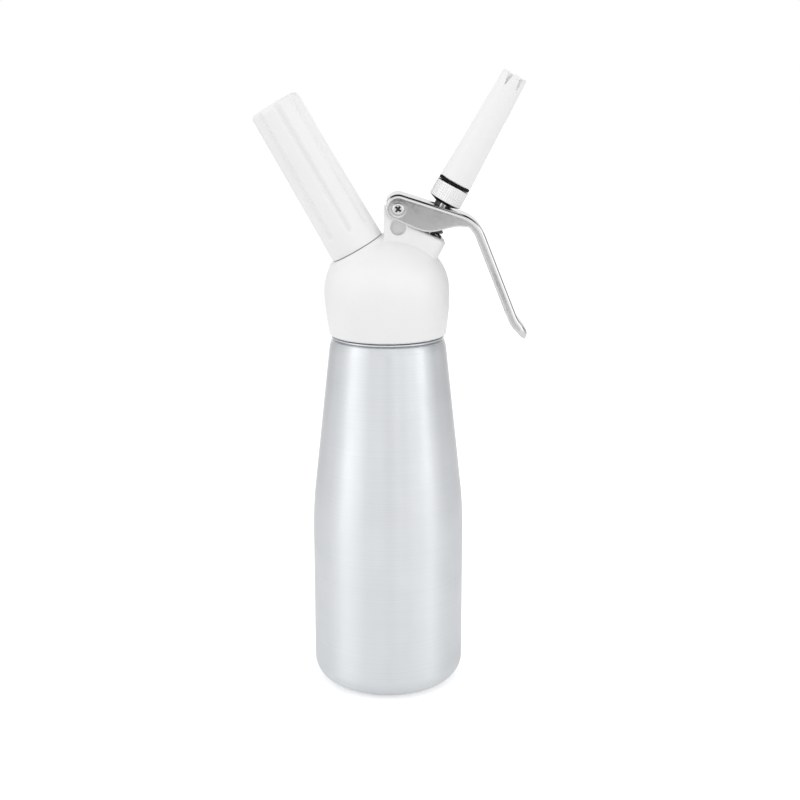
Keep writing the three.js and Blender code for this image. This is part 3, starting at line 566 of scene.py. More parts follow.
def bottle():
    wall_end = CONE_START - CONE_BLEND
    cone_start = CONE_START + CONE_BLEND
    corner = BOTTLE_RADIUS - BASE_CORNER
    inner_corner = BASE_CORNER - BOTTLE_WALL
    thread_end = MOUTH_HEIGHT - MOUTH_LIP
    thread_start = thread_end - THREAD_TURNS * THREAD_PITCH
    shoulder = lined([p for p in bend(
        (SHOULDER_RADIUS, SHOULDER_HEIGHT), (cone_radius(LEDGE_HEIGHT), LEDGE_HEIGHT),
        (LEDGE_RADIUS, LEDGE_HEIGHT), 24) if p[0] > BEAD_RADIUS])
    groove = BEAD_RADIUS - BEAD_GROOVE
    outside = [(corner * share, 0) for share in BASE_SHARES]
    outside += arc((corner, BASE_CORNER), BASE_CORNER, -90 * DEGREE, 0, 16)
    outside += [(BOTTLE_RADIUS, h) for h in np.linspace(
        BASE_CORNER + WALL_RING_SPACE, wall_end - WALL_RING_SPACE, WALL_RINGS)]
    outside += bend((BOTTLE_RADIUS, wall_end), (BOTTLE_RADIUS, CONE_START),
                    (cone_radius(cone_start), cone_start), 14)
    outside += [(cone_radius(h), h) for h in np.linspace(
        cone_start + 1.5 * WALL_RING_SPACE, SHOULDER_HEIGHT - WALL_RING_SPACE, WALL_RINGS)]
    outside += shoulder
    outside += [(groove, BEAD_HEIGHT - 2 * BEAD_ROUND), (groove, BEAD_HEIGHT - BEAD_ROUND)]
    outside += arc((BEAD_RADIUS, BEAD_HEIGHT), BEAD_ROUND, BEAD_START, BEAD_END, 14)
    outside += [(groove - BEAD_ROUND, BEAD_HEIGHT), (NECK_RADIUS + BEAD_ROUND, BEAD_HEIGHT),
                (NECK_RADIUS, BEAD_HEIGHT + BEAD_ROUND)]
    outside += [(NECK_RADIUS, h) for h in np.linspace(thread_start, thread_end, THREAD_ROWS)]
    lip = eased([(NECK_RADIUS, thread_end), (NECK_RADIUS, MOUTH_HEIGHT), (MOUTH_RADIUS, MOUTH_HEIGHT),
                 (MOUTH_RADIUS, thread_end)], MOUTH_LIP, 6)[1:]
    inside = [(MOUTH_RADIUS, LEDGE_HEIGHT - BOTTLE_WALL)]
    inside += bend((MOUTH_RADIUS, LEDGE_HEIGHT - BOTTLE_WALL),
                   (SHOULDER_RADIUS - BOTTLE_WALL, LEDGE_HEIGHT - 2 * BOTTLE_WALL),
                   (SHOULDER_RADIUS - BOTTLE_WALL, SHOULDER_HEIGHT - BOTTLE_WALL), 8)[1:]
    inside += bend((cone_radius(cone_start) - BOTTLE_WALL, cone_start),
                   (BOTTLE_RADIUS - BOTTLE_WALL, CONE_START),
                   (BOTTLE_RADIUS - BOTTLE_WALL, wall_end), 8)
    inside += arc((corner, BOTTLE_FLOOR + inner_corner), inner_corner, 0, -90 * DEGREE, 8)
    inside += [(0, BOTTLE_FLOOR)]
    relief = thread_relief(thread_start, thread_end, NECK_RADIUS, NECK_RADIUS + THREAD_DEPTH,
                           THREAD_PITCH)
    return turned("bottle_skin", outside + lip + inside, relief=relief)


# Implicit surfaces: each gives about the distance outside the solid, negative inside
def fillet(a, b, radius):
    u = np.maximum(radius - a, 0)
    v = np.maximum(radius - b, 0)
    return np.maximum(radius, np.minimum(a, b)) - np.hypot(u, v)


def round_edge(a, b, radius):
    return -fillet(-a, -b, radius)


def cut_by(solid, tool, radius):
    return round_edge(solid, -tool, radius)


def outline_distance(outline, u, v):
    """Signed distance to a closed outline in a plane."""
    outline = np.asarray(outline, float)
    nearest = np.full(u.shape, np.inf)
    inside = np.zeros(u.shape, bool)
    for (u0, v0), (u1, v1) in zip(outline, np.roll(outline, -1, axis=0)):
        du, dv = u1 - u0, v1 - v0
        length = du * du + dv * dv
        if length < TINY:
            continue
        along = np.clip(((u - u0) * du + (v - v0) * dv) / length, 0, 1)
        nearest = np.minimum(nearest, (u - u0 - along * du) ** 2 + (v - v0 - along * dv) ** 2)
        if dv != 0:
            crossing = (v0 > v) != (v1 > v)
            inside ^= crossing & (u < u0 + (v - v0) * du / dv)
    return np.where(inside, -1, 1) * np.sqrt(nearest)


def turned_distance(points, axis, profile):
    """Distance to a body of revolution whose profile runs from the axis and back to it."""
    local = placed(points, axis.inverted())
    radius = np.hypot(local[:, 0], local[:, 1])
    far = -4 * max(r for r, _ in profile)
    outline = [(far, profile[0][1])] + list(profile[1:-1]) + [(far, profile[-1][1])]
    return outline_distance(outline, radius, local[:, 2])


def settled(points, surface):
    """The points moved onto the surface where it is zero."""
    points = points.copy()
    for _ in range(SETTLE_ROUNDS):
        value = surface(points)
        slope = np.empty_like(points)
        for k in range(3):
            step = np.zeros(3)
            step[k] = PROBE
            slope[:, k] = (surface(points + step) - value) / PROBE
        square = np.maximum((slope ** 2).sum(1), FLATTEST_SLOPE)
        move = np.clip(value / square, -SETTLE_REACH, SETTLE_REACH)
        points -= slope * move[:, None]
    return points


def fine_copy(node, voxel, name, surface, extra=None):
    """A close even mesh of a node's solid and an extra piece, settled onto a surface."""
    base = linked(name + "_base", frame["nodes"][node].data.copy())
    if extra:
        both = bmesh.new()
        both.from_mesh(base.data)
        both.from_mesh(extra.data)
        both.to_mesh(base.data)
        both.free()
        bpy.data.objects.remove(extra)
    remesh = base.modifiers.new("even", "REMESH")
    remesh.mode = "VOXEL"
    remesh.voxel_size = voxel * MM
    mesh = evaluated_mesh(base)
    count = len(mesh.vertices)
    places = np.empty(count * 3)
    mesh.vertices.foreach_get("co", places)
    points = settled(places.reshape(-1, 3) / MM, surface)
    mesh.vertices.foreach_set("co", (points * MM).ravel())
    mesh.update()
    mesh.shade_smooth()
    mesh.materials.clear()
    bpy.data.objects.remove(base)
    mesh.name = name
    return linked(name, mesh)


# Head
def dome_distance(points):
    x, y, z = points.T
    rise = np.clip((z - HEAD_FLOOR) / (DOME_BASE - HEAD_FLOOR), 0, 1)
    radius = np.hypot(x + DOME_LEAN * rise, y)
    skirt = HEAD_RIM_RADIUS + (DOME_RADIUS - HEAD_RIM_RADIUS) * np.sin(rise * math.pi / 2)
    side = radius - skirt
    up = np.maximum(z - DOME_BASE, 0)
    grade = ((radius / DOME_RADIUS) ** DOME_FULLNESS + (up / DOME_RISE) ** DOME_FULLNESS) ** (
        1 / DOME_FULLNESS)
    crown = np.hypot(radius, up) * (1 - 1 / np.maximum(grade, DOME_CORE))
    shell = np.where(z > DOME_BASE, crown, side)
    return round_edge(shell, HEAD_FLOOR - z, HEAD_RIM_ROUND)


def lug_outline():
    root_x, _, root_height = VALVE_AXIS @ Vector((-LUG_ROOT_REACH, 0, 0))
    outline = [(BLOCK_WALL_X, BLOCK_FOOT)]
    outline += arc((BLOCK_WALL_X + BLOCK_EDGE, PIVOT_HEIGHT - BLOCK_EDGE), BLOCK_EDGE,
                   180 * DEGREE, 90 * DEGREE, 4)
    outline += arc((PIVOT_X, PIVOT_HEIGHT), LUG_RADIUS, 180 * DEGREE, LUG_END, 36)
    outline += [(root_x, root_height), (root_x, BLOCK_FOOT)]
    return outline


def block_distance(points):
    x, y, z = points.T
    sides = np.abs(y) - BLOCK_HALF
    lug = round_edge(outline_distance(lug_outline(), x, z), sides, BLOCK_EDGE)
    across, deep, along = placed(points, BOSS_AXIS.inverted()).T
    middle = (BOSS_REACH - BOSS_BACK) / 2
    half = (BOSS_REACH + BOSS_BACK) / 2
    plan_x = np.abs(across - middle) - half + BOSS_CORNER
    plan_y = np.abs(deep) - BLOCK_HALF + BOSS_CORNER
    plan = (np.hypot(np.maximum(plan_x, 0), np.maximum(plan_y, 0))
            + np.minimum(np.maximum(plan_x, plan_y), 0) - BOSS_CORNER)
    ends = np.abs(along + BOSS_DEPTH / 2) - BOSS_DEPTH / 2
    boss = round_edge(plan, ends, BOSS_EDGE)
    return fillet(lug, boss, BOSS_FILLET)


def port_boss_distance(points):
    local = placed(points, HOLDER_AXIS.inverted())
    side = np.hypot(local[:, 0], local[:, 1]) - PORT_BOSS
    ends = np.maximum(local[:, 2] + GAP, -local[:, 2] - PORT_SPOT_DEPTH)
    return round_edge(side, ends, HEAD_EDGE)


def neck_bore_distance(points):
    corner = CAVITY_RADIUS - CAVITY_ROUND
    bore = NECK_RADIUS + THREAD_DEPTH + THREAD_CLEARANCE
    profile = [(0, HEAD_FLOOR - BORE_PAST), (bore, HEAD_FLOOR - BORE_PAST), (bore, HEAD_SEAT),
               (CAVITY_RADIUS, HEAD_SEAT)]
    profile += arc((corner, CAVITY_HEIGHT - CAVITY_ROUND), CAVITY_ROUND, 0, 90 * DEGREE, 5)
    profile += [(0, CAVITY_HEIGHT)]
    distance = turned_distance(points, UPRIGHT, profile)
    x, y, z = points.T
    wave = np.abs((z / THREAD_PITCH - np.arctan2(y, x) / TURN) % 1 - 0.5) * 2
    within = (z > HEAD_FLOOR + HEAD_THREAD_START) & (z < HEAD_SEAT - HEAD_THREAD_END)
    ridge = np.clip((wave - HEAD_THREAD_VALLEY) / RIDGE_SLOPE, 0, 1)
    return distance - HEAD_THREAD_DEPTH * within * ridge


def port_bore_distance(points):
    spot_end = -PORT_SPOT_DEPTH - PORT_SPOT
    flange = -PORT_FLANGE_THICKNESS - 3 * GAP
    return turned_distance(points, HOLDER_AXIS, [
        (0, spot_end), (PORT_SPOT, spot_end), (PORT_SPOT, -PORT_SPOT_DEPTH),
        (PORT_SHANK + GAP, -PORT_SPOT_DEPTH), (PORT_SHANK + GAP, flange),
        (PORT_FLANGE + GAP, flange), (PORT_FLANGE + GAP, -GAP),
        (PORT_BOSS + 2 * GAP, -GAP), (PORT_BOSS + 2 * GAP, PORT_BOSS), (0, PORT_BOSS)])


def valve_bore_distance(points):
    seat_end = -PISTON_SEAT - PORT_SPOT
    throat = STEM_RADIUS + 2 * GAP
    return turned_distance(points, VALVE_AXIS, [
        (0, seat_end), (SEAT_BORE, seat_end), (SEAT_BORE, -PISTON_SEAT), (throat, -PISTON_SEAT),
        (throat, -BUSH_BORE_DEPTH), (BUSH_RADIUS + GAP, -BUSH_BORE_DEPTH),
        (BUSH_RADIUS + GAP, VALVE_BORE_PAST), (0, VALVE_BORE_PAST)])


def head_distance(points):
    x, y, z = points.T
    solid = fillet(dome_distance(points), port_boss_distance(points), PORT_FLARE)
    solid = fillet(solid, block_distance(points), BLOCK_FILLET)
    solid = cut_by(solid, neck_bore_distance(points), NECK_BORE_EDGE)
    solid = cut_by(solid, port_bore_distance(points), HEAD_EDGE)
    solid = cut_by(solid, valve_bore_distance(points), HEAD_EDGE)
    pin = np.hypot(x - PIVOT_X, z - PIVOT_HEIGHT) - BARREL_RADIUS - GAP
    solid = cut_by(solid, pin, PIN_HOLE_EDGE)
    recess = np.hypot(x - PIVOT_X, z - PIVOT_HEIGHT + RECESS_DROP) - RECESS_RADIUS
    recess = round_edge(recess, BLOCK_HALF - RECESS_DEPTH - np.abs(y), RECESS_ROUND)
    return cut_by(solid, recess, HEAD_EDGE)


def head_shell():
    return fine_copy("head_shell", HEAD_VOXEL, "head_moulding", head_distance)


# Lever
def lever_stations(fine):
    """Places on the web's outer line as x, height and angle of the outward normal."""
    start = 90 * DEGREE - LEVER_WEB_TILT
    stations = []
    for angle in np.linspace(LEVER_WRAP, start, WRAP_STEPS * fine + 1):
        stations.append([PIVOT_X + LEVER_WEB_REACH * math.cos(angle),
                         PIVOT_HEIGHT + LEVER_WEB_REACH * math.sin(angle), angle])

    def forward(length):
        x, height, normal = stations[-1]
        stations.append([x + length * math.sin(normal), height - length * math.cos(normal), normal])

    def turn_by(turn, radius, steps):
        half = turn / steps / 2
        for _ in range(steps):
            x, height, normal = stations[-1]
            heading = normal - half
            chord = 2 * radius * math.sin(abs(half))
            stations.append([x + chord * math.sin(heading), height - chord * math.cos(heading),
                             normal - 2 * half])

    forward(LEVER_WEB_LENGTH)
    turn_by(LEVER_BEND_TURN, LEVER_BEND_RADIUS, BEND_STEPS * fine)
    forward(LEVER_HANDLE)
    turn_by(-LEVER_CURL_TURN, LEVER_CURL_RADIUS, CURL_STEPS * fine)
    forward(LEVER_TIP)
    return np.array(stations)


def web_point(along, depth):
    tilt = -LEVER_WEB_TILT
    rise = LEVER_WEB_REACH - depth
    return (PIVOT_X + along * math.cos(tilt) - rise * math.sin(tilt),
            PIVOT_HEIGHT + along * math.sin(tilt) + rise * math.cos(tilt))


def smooth_through(points, steps):
    """A curve through the points, each stretch a cubic with the neighbours' slope."""
    points = np.array(points, float)
    padded = np.vstack([2 * points[0] - points[1], points, 2 * points[-1] - points[-2]])
    curve = []
    for i in range(len(points) - 1):
        p0, p1, p2, p3 = padded[i:i + 4]
        for t in np.linspace(0, 1, steps, endpoint=False):
            curve.append(tuple(0.5 * (2 * p1 + (p2 - p0) * t + (2 * p0 - 5 * p1 + 4 * p2 - p3) * t ** 2
                                      + (3 * p1 - p0 - 3 * p2 + p3) * t ** 3)))
    curve.append(tuple(points[-1]))
    return curve


def lever_outline():
    """The side view of the lever: its web side stands clear outside, its free edges are true."""
    stations = lever_stations(1)
    outward = np.stack([np.cos(stations[:, 2]), np.sin(stations[:, 2])], 1)
    clear = [tuple(p) for p in stations[:, :2] + outward * OUTLINE_CLEAR]
    edge = stations[:, :2] - outward * LEVER_FLANGE
    ear_end = web_point(LEVER_WEB_LENGTH * EAR_EDGE_SHARES[-1][0], 0)
    handle_edge = [tuple(p) for p, s in zip(edge, stations) if s[0] > ear_end[0] + EAR_TO_HANDLE]
    forward = np.array([outward[-1][1], -outward[-1][0]])
    end = [stations[-1, :2] + forward * along - outward[-1] * depth for along, depth in LEVER_END_EDGE]
    handle_edge = handle_edge[:-1] + smooth_through([handle_edge[-2]] + end, OUTLINE_STEPS)[1:]
    past = [handle_edge[-1] + forward * OUTLINE_CLEAR, clear[-1] + forward * (2 * OUTLINE_CLEAR)]
    ear = [web_point(LEVER_WEB_LENGTH * a, EAR_DEPTH * d) for a, d in EAR_EDGE_SHARES]
    round_end = arc((PIVOT_X, PIVOT_HEIGHT), EAR_RADIUS, LEVER_WRAP, EAR_END, 3 * OUTLINE_STEPS)
    lower = smooth_through([round_end[-1]] + ear + [handle_edge[0]], OUTLINE_STEPS)
    return clear + [tuple(p) for p in past[::-1]] + handle_edge[::-1] + lower[::-1] + round_end[::-1]


def web_distance(u, v, stations):
    """Signed distance to the open line of the web, positive on its outer side."""
    line = stations[:, :2]
    normal = stations[:, 2]
    first = line[0] - LINE_RUN_ON * np.array([math.sin(normal[0]), -math.cos(normal[0])])
    last = line[-1] + LINE_RUN_ON * np.array([math.sin(normal[-1]), -math.cos(normal[-1])])
    line = np.vstack([first, line, last])
    best = np.full(u.shape, np.inf)
    signed = np.zeros(u.shape)
    for (u0, v0), (u1, v1) in zip(line, line[1:]):
        du, dv = u1 - u0, v1 - v0
        length = math.hypot(du, dv)
        along = np.clip(((u - u0) * du + (v - v0) * dv) / length ** 2, 0, 1)
        far = np.hypot(u - u0 - along * du, v - v0 - along * dv)
        side = ((v - v0) * du - (u - u0) * dv) / length
        closer = far < best - TINY
        best = np.where(closer, far, best)
        signed = np.where(closer, np.where(side < 0, -far, far), signed)
    return signed


LEVER_LINE = lever_stations(2)
LEVER_SIDE = lever_outline()


def lever_distance(points):
    x, y, z = points.T
    tilt = -LEVER_WEB_TILT
    along = (x - PIVOT_X) * math.cos(tilt) + (z - PIVOT_HEIGHT) * math.sin(tilt)
    middle = (SLOT_START + SLOT_END) / 2
    straight = (SLOT_END - SLOT_START) / 2 - SLOT_HALF
    slot = np.hypot(np.maximum(np.abs(along - middle) - straight, 0), y) - SLOT_HALF
    rim = SLOT_RIM * np.clip(1 - slot / SLOT_RIM_WIDTH, 0, 1) ** 2 * (slot < SLOT_RIM_WIDTH)
    web = web_distance(x, z, LEVER_LINE) - rim
    pivot = np.hypot(x - PIVOT_X, z - PIVOT_HEIGHT)
    pad = EAR_PAD_RISE * np.clip((EAR_PAD_RADIUS - pivot) / EAR_PAD_SLOPE, 0, 1)
    end_x, end_height, normal = LEVER_LINE[-1]
    face = normal - LEVER_END_TURN
    past_end = (x - end_x) * math.cos(face) + (z - end_height) * math.sin(face)
    plan_x = past_end + LEVER_END_ROUND
    plan_y = np.abs(y) - LEVER_HALF - pad + LEVER_END_ROUND
    plan = np.where((plan_x > 0) & (plan_y > 0), np.hypot(plan_x, plan_y),
                    np.maximum(plan_x, plan_y)) - LEVER_END_ROUND
    near_end = np.clip(1 + past_end / LEVER_END_BLEND, 0, 1)
    fold = LEVER_FOLD + (LEVER_END_FOLD - LEVER_FOLD) * near_end
    skin = round_edge(web, plan, fold)
    sheet = np.abs(skin + LEVER_SHEET / 2) - LEVER_SHEET / 2
    solid = round_edge(sheet, outline_distance(LEVER_SIDE, x, z), SHEET_EDGE)
    at_web = (z > PIVOT_HEIGHT) | (x > PIVOT_X + SLOT_CLEAR)
    solid = np.where(at_web, cut_by(solid, slot, SHEET_EDGE), solid)
    return cut_by(solid, pivot - BARREL_RADIUS - GAP, PIN_HOLE_EDGE)


def lever_end_wall():
    """A rough wall round the handle's rounded end, which the surface then trims."""
    end_x, end_height, normal = LEVER_LINE[-1]
    face = normal - LEVER_END_TURN
    corner = LEVER_HALF - LEVER_END_ROUND

    def plan(radius):
        near = [(-LEVER_END_ROUND - LEVER_END_LAP, -corner - radius)]
        near += arc((-LEVER_END_ROUND, -corner), radius, -90 * DEGREE, 0, LEVER_END_STEPS)
        return near + [(along, -y) for along, y in reversed(near)]

    outer = plan(LEVER_END_ROUND)
    inner = plan(LEVER_END_ROUND - LEVER_SHEET)
    points = []
    for along, y in outer + inner:
        top = along / math.tan(LEVER_END_TURN)
        for down in (top, top + LEVER_END_WALL):
            points.append((end_x + along * math.cos(face) + down * math.sin(face), y,
                           end_height + along * math.sin(face) - down * math.cos(face)))
    count = len(outer)
    faces = []
    for i in range(count - 1):
        a, b = 2 * i, 2 * (i + 1)
        c, d = a + 2 * count, b + 2 * count
        faces += [(a, a + 1, b + 1, b), (c, d, d + 1, c + 1), (a, b, d, c), (a + 1, c + 1, d + 1, b + 1)]
    last = 2 * (count - 1)
    far = last + 2 * count
    faces += [(0, 2 * count, 2 * count + 1, 1), (last, last + 1, far + 1, far)]
    return make_object("lever_end_wall", points, faces)


def lever():
    return fine_copy("lever", LEVER_VOXEL, "lever_sheet", lever_distance, lever_end_wall())


# Gasket and O-rings
def head_gasket():
    bottom = MOUTH_HEIGHT + GAP
    section = ring_section(MOUTH_RADIUS + GAP, NECK_RADIUS + THREAD_DEPTH, bottom,
                           bottom + GASKET_THICKNESS, GASKET_EASE)
    return turned("gasket_ring", section, closed=True)


def ring(name, radius, tube, height, axis):
    section = arc((radius, height), tube, 0, TURN, TUBE_SIDES)[:-1]
    return turned(name, section, SMALL_SIDES, axis, closed=True)


# Charger port, in the frame of the holder axis with its zero at the seam
PORT_NUT_START = -PORT_SPOT_DEPTH - GAP
SPIGOT_START = PORT_NUT_START - PORT_NUT_THICKNESS - GAP / 2
SPIGOT_END = SPIGOT_START - SPIGOT_LENGTH
SOCKET_FLOOR = NIPPLE_LENGTH - SOCKET_DEPTH
PIN_SEAT = SOCKET_FLOOR - PIN_SEAT_DEPTH
PORT_SEAL_START = SOCKET_FLOOR + GAP
CHARGER_START = PORT_SEAL_START + PORT_SEAL_THICKNESS + GAP


def charger_port():
    flange_top = -2 * GAP
    flange_bottom = flange_top - PORT_FLANGE_THICKNESS
    core = NIPPLE_RADIUS - THREAD_DEPTH
    thread_start = flange_top + PORT_THREAD_START
    thread_end = NIPPLE_LENGTH - PORT_THREAD_END
    lower = eased([(GAS_PASSAGE, SPIGOT_END), (SPIGOT_RADIUS, SPIGOT_END),
                   (SPIGOT_RADIUS, SPIGOT_START), (PORT_SHANK, SPIGOT_START),
                   (PORT_SHANK, flange_bottom), (PORT_FLANGE, flange_bottom),
                   (PORT_FLANGE, flange_top), (core, flange_top)], PORT_EASE)
    thread = [(core, h) for h in np.linspace(thread_start, thread_end, PORT_THREAD_ROWS)]
    upper = eased([(core, thread_end), (core, NIPPLE_LENGTH), (SOCKET_RADIUS, NIPPLE_LENGTH),
                   (SOCKET_RADIUS, SOCKET_FLOOR), (PIN_SEAT_RADIUS, SOCKET_FLOOR),
                   (PIN_SEAT_RADIUS, PIN_SEAT), (GAS_PASSAGE, PIN_SEAT), (GAS_PASSAGE, SPIGOT_END)],
                  PORT_EASE)[1:-1]
    relief = thread_relief(thread_start, thread_end, core, NIPPLE_CREST, THREAD_PITCH / 2)
    return turned("port_nipple", lower + thread + upper, FINE_SIDES, HOLDER_AXIS, relief, closed=True)


def port_nut():
    corner = PORT_NUT_APOTHEM / math.cos(HALF_SIDE)
    face = PORT_NUT_APOTHEM * PORT_NUT_FACE_SHARE
    top = PORT_NUT_START
    bottom = top - PORT_NUT_THICKNESS
    inner = PORT_SHANK + GAP
    section = [(inner, bottom + PORT_NUT_EASE), (inner + PORT_NUT_EASE, bottom), (face, bottom),
               (corner, bottom + PORT_NUT_CHAMFER), (corner, top - PORT_NUT_CHAMFER), (face, top),
               (inner + PORT_NUT_EASE, top), (inner, top - PORT_NUT_EASE)]

    def hexagon(angles, row, radii, heights):
        flat = PORT_NUT_APOTHEM / np.cos((angles + HALF_SIDE) % (2 * HALF_SIDE) - HALF_SIDE)
        return np.minimum(radii, flat), heights
    return turned("clamp_nut", section, FINE_SIDES, HOLDER_AXIS, hexagon, closed=True)


def port_seal():
    section = ring_section(PORT_SEAL_BORE, SOCKET_RADIUS - GAP, PORT_SEAL_START,
                           PORT_SEAL_START + PORT_SEAL_THICKNESS, PORT_SEAL_EASE)
    return turned("neck_seal", section, SMALL_SIDES, HOLDER_AXIS, closed=True)


def piercing_pin():
    start = PIN_SEAT + GAP
    base_end = start + PIN_BASE_HEIGHT
    tip = CHARGER_START - GAP
    section = eased([(PIN_BORE, start), (PIN_SEAT_RADIUS - GAP, start),
                     (PIN_SEAT_RADIUS - GAP, base_end), (PIN_RADIUS, base_end),
                     (PIN_RADIUS, tip - 2 * PIN_RADIUS), (PIN_BORE + PIN_EASE, tip), (PIN_BORE, tip)],
                    PIN_EASE, closed=True)
    return turned("hollow_pin", section, SMALL_SIDES, HOLDER_AXIS, closed=True)


def check_valve():
    top = SPIGOT_START - GAP
    inner = SPIGOT_RADIUS + GAP
    outer = inner + CHECK_VALVE_WALL
    floor = SPIGOT_END - GAP
    end = floor - CHECK_VALVE_WALL
    profile = eased([(0, end), (outer, end), (outer, top), (inner, top), (inner, floor), (0, floor)],
                    CHECK_VALVE_EASE)
    piece = turned("valve_cap", profile, SMALL_SIDES, HOLDER_AXIS)
    slit = box((0, 0, end), (CHECK_VALVE_SLIT, SPIGOT_RADIUS - GAP, 2 * CHECK_VALVE_WALL),
               HOLDER_AXIS)
    return cut(piece, slit)


# Tools for boolean cuts
def box(centre, half, axis=UPRIGHT):
    signs = ((-1, -1, -1), (1, -1, -1), (1, 1, -1), (-1, 1, -1),
             (-1, -1, 1), (1, -1, 1), (1, 1, 1), (-1, 1, 1))
    corners = [[c + s * h for c, s, h in zip(centre, sign, half)] for sign in signs]
    faces = [(3, 2, 1, 0), (4, 5, 6, 7), (0, 1, 5, 4), (1, 2, 6, 5), (2, 3, 7, 6), (3, 0, 4, 7)]
    return make_object("tool", placed(corners, axis), faces, smooth=False)


def cut(piece, *tools):
    for tool in tools:
        boolean = piece.modifiers.new("cut", "BOOLEAN")
        boolean.operation = "DIFFERENCE"
        boolean.solver = "EXACT"
        boolean.object = tool
    mesh = evaluated_mesh(piece)
    piece.modifiers.clear()
    piece.data = mesh
    mesh.name = piece.name
    mesh.materials.clear()
    for tool in tools:
        bpy.data.objects.remove(tool)
    return piece


# Charger holder: eight soft grooves that run out over its rounded top
def holder_radius(height):
    return HOLDER_BASE + (HOLDER_TOP - HOLDER_BASE) * height / HOLDER_LENGTH


def charger_holder():
    bore = CHARGER_RADIUS + GAP
    bore_end = CHARGER_START + CHARGER_LENGTH + GAP
    thread_radius = NIPPLE_RADIUS + THREAD_CLEARANCE
    thread_end = NIPPLE_LENGTH + 2 * GAP
    inside = [(0, bore_end)]
    inside += arc((0, bore_end - bore), bore, HOLDER_BORE_TOP, 0, 12)
    inside += [(bore, h) for h in np.linspace(
        bore_end - bore - 2 * WALL_RING_SPACE, thread_end + 1.5 * WALL_RING_SPACE, WALL_RINGS)]
    inside += [(bore, thread_end + THREAD_DEPTH), (thread_radius, thread_end)]
    inside += eased([(thread_radius, thread_end), (thread_radius, 0), (HOLDER_BASE, 0),
                     (holder_radius(HOLDER_MOUTH_RUN), HOLDER_MOUTH_RUN)], HOLDER_MOUTH_EASE)[1:]
    first = len(inside)
    outside = []
    for start, end, rows in HOLDER_STRETCHES:
        outside += [(holder_radius(h), h) for h in np.linspace(start, end, rows)]
    top_centre = (holder_radius(HOLDER_LENGTH) - HOLDER_TOP_ROUND, GROOVE_END)
    outside += arc(top_centre, HOLDER_TOP_ROUND, 0, 90 * DEGREE, 24)
    flat = outside[-1][0]
    outside += [(flat * share, HOLDER_LENGTH) for share in HOLDER_TOP_SHARES]
    outside += [(0, HOLDER_LENGTH)]
    step = TURN / HOLDER_GROOVES
    head = GROOVE_START + GROOVE_WIDTH / 2

    def grooves(angles, row, radii, heights):
        if row < first:
            return radii, heights
        height, radius = heights[0], radii[0]
        wall = holder_radius(height)
        offset = ((angles - (GROOVE_TURN - 90 * DEGREE) + step / 2) % step - step / 2) * wall
        reach = np.hypot(offset, max(0, head - height)) / (GROOVE_WIDTH / 2)
        depth = GROOVE_DEPTH * np.where(reach < 1, (1 + np.cos(math.pi * np.minimum(reach, 1))) / 2, 0)
        depth = depth ** GROOVE_SHARE * GROOVE_DEPTH ** (1 - GROOVE_SHARE)
        groove = wall - depth
        gap = np.clip((radius - groove) / GROOVE_BLEND, -1, 1)
        soft = np.where(gap < 0, radius, groove) - GROOVE_BLEND * (1 - np.abs(gap)) ** 2 / 4
        return np.where(depth > GROOVE_LEAST, np.minimum(soft, radius), radii), heights
    return turned("fluted_holder", inside + outside, 2 * FINE_SIDES, HOLDER_AXIS, grooves)


def gas_charger():
    neck_end = CHARGER_START + CHARGER_NECK_LENGTH
    shoulder_end = neck_end + CHARGER_SHOULDER
    end = CHARGER_START + CHARGER_LENGTH
    cap = CHARGER_NECK - CHARGER_CAP_RIM
    sunk = CHARGER_START + CHARGER_CAP_SINK
    profile = eased([(0, sunk), (cap - CHARGER_CAP_SLOPE, sunk), (cap, CHARGER_START),
                     (CHARGER_NECK, CHARGER_START), (CHARGER_NECK, neck_end - CHARGER_NECK_EDGE)],
                    CHARGER_EASE)
    profile += bend((CHARGER_NECK, neck_end), (CHARGER_RADIUS, neck_end + CHARGER_NECK_LENGTH),
                    (CHARGER_RADIUS, shoulder_end), 20)
    profile += [(CHARGER_RADIUS, h) for h in np.linspace(
        shoulder_end + WALL_RING_SPACE, end - CHARGER_RADIUS - WALL_RING_SPACE, WALL_RINGS - 1)]
    profile += arc((0, end - CHARGER_RADIUS), CHARGER_RADIUS, 0, CHARGER_TOP, 18)
    profile += [(0, end)]
    return turned("charger_flask", profile, FINE_SIDES, HOLDER_AXIS)


# Valve pieces, in the frame of the valve axis
COLLAR_START = GAP + SPRING_LENGTH + GAP
KNURL_START = ADAPTER_START + ADAPTER_CONE
KNURL_END = KNURL_START + KNURL_HEIGHT
TIP_RING_MIDDLE = KNURL_END + GAP + TIP_RING / 2
TIP_START = KNURL_END + GAP + TIP_RING + GAP
STEM_TOP = KNURL_END + STEM_TOP_REACH
STEM_CLEAR = STEM_RADIUS + GAP


def paint_shade(piece, axis, chosen):
    """Give the faces that are chosen by their place along an axis the near-black second finish: painted
    shade where shadow and dark reflections fall.
    """
    back = axis.inverted()
    for face in piece.data.polygons:
        if chosen(back @ (face.center / MM)):
            face.material_index = 1
    return piece


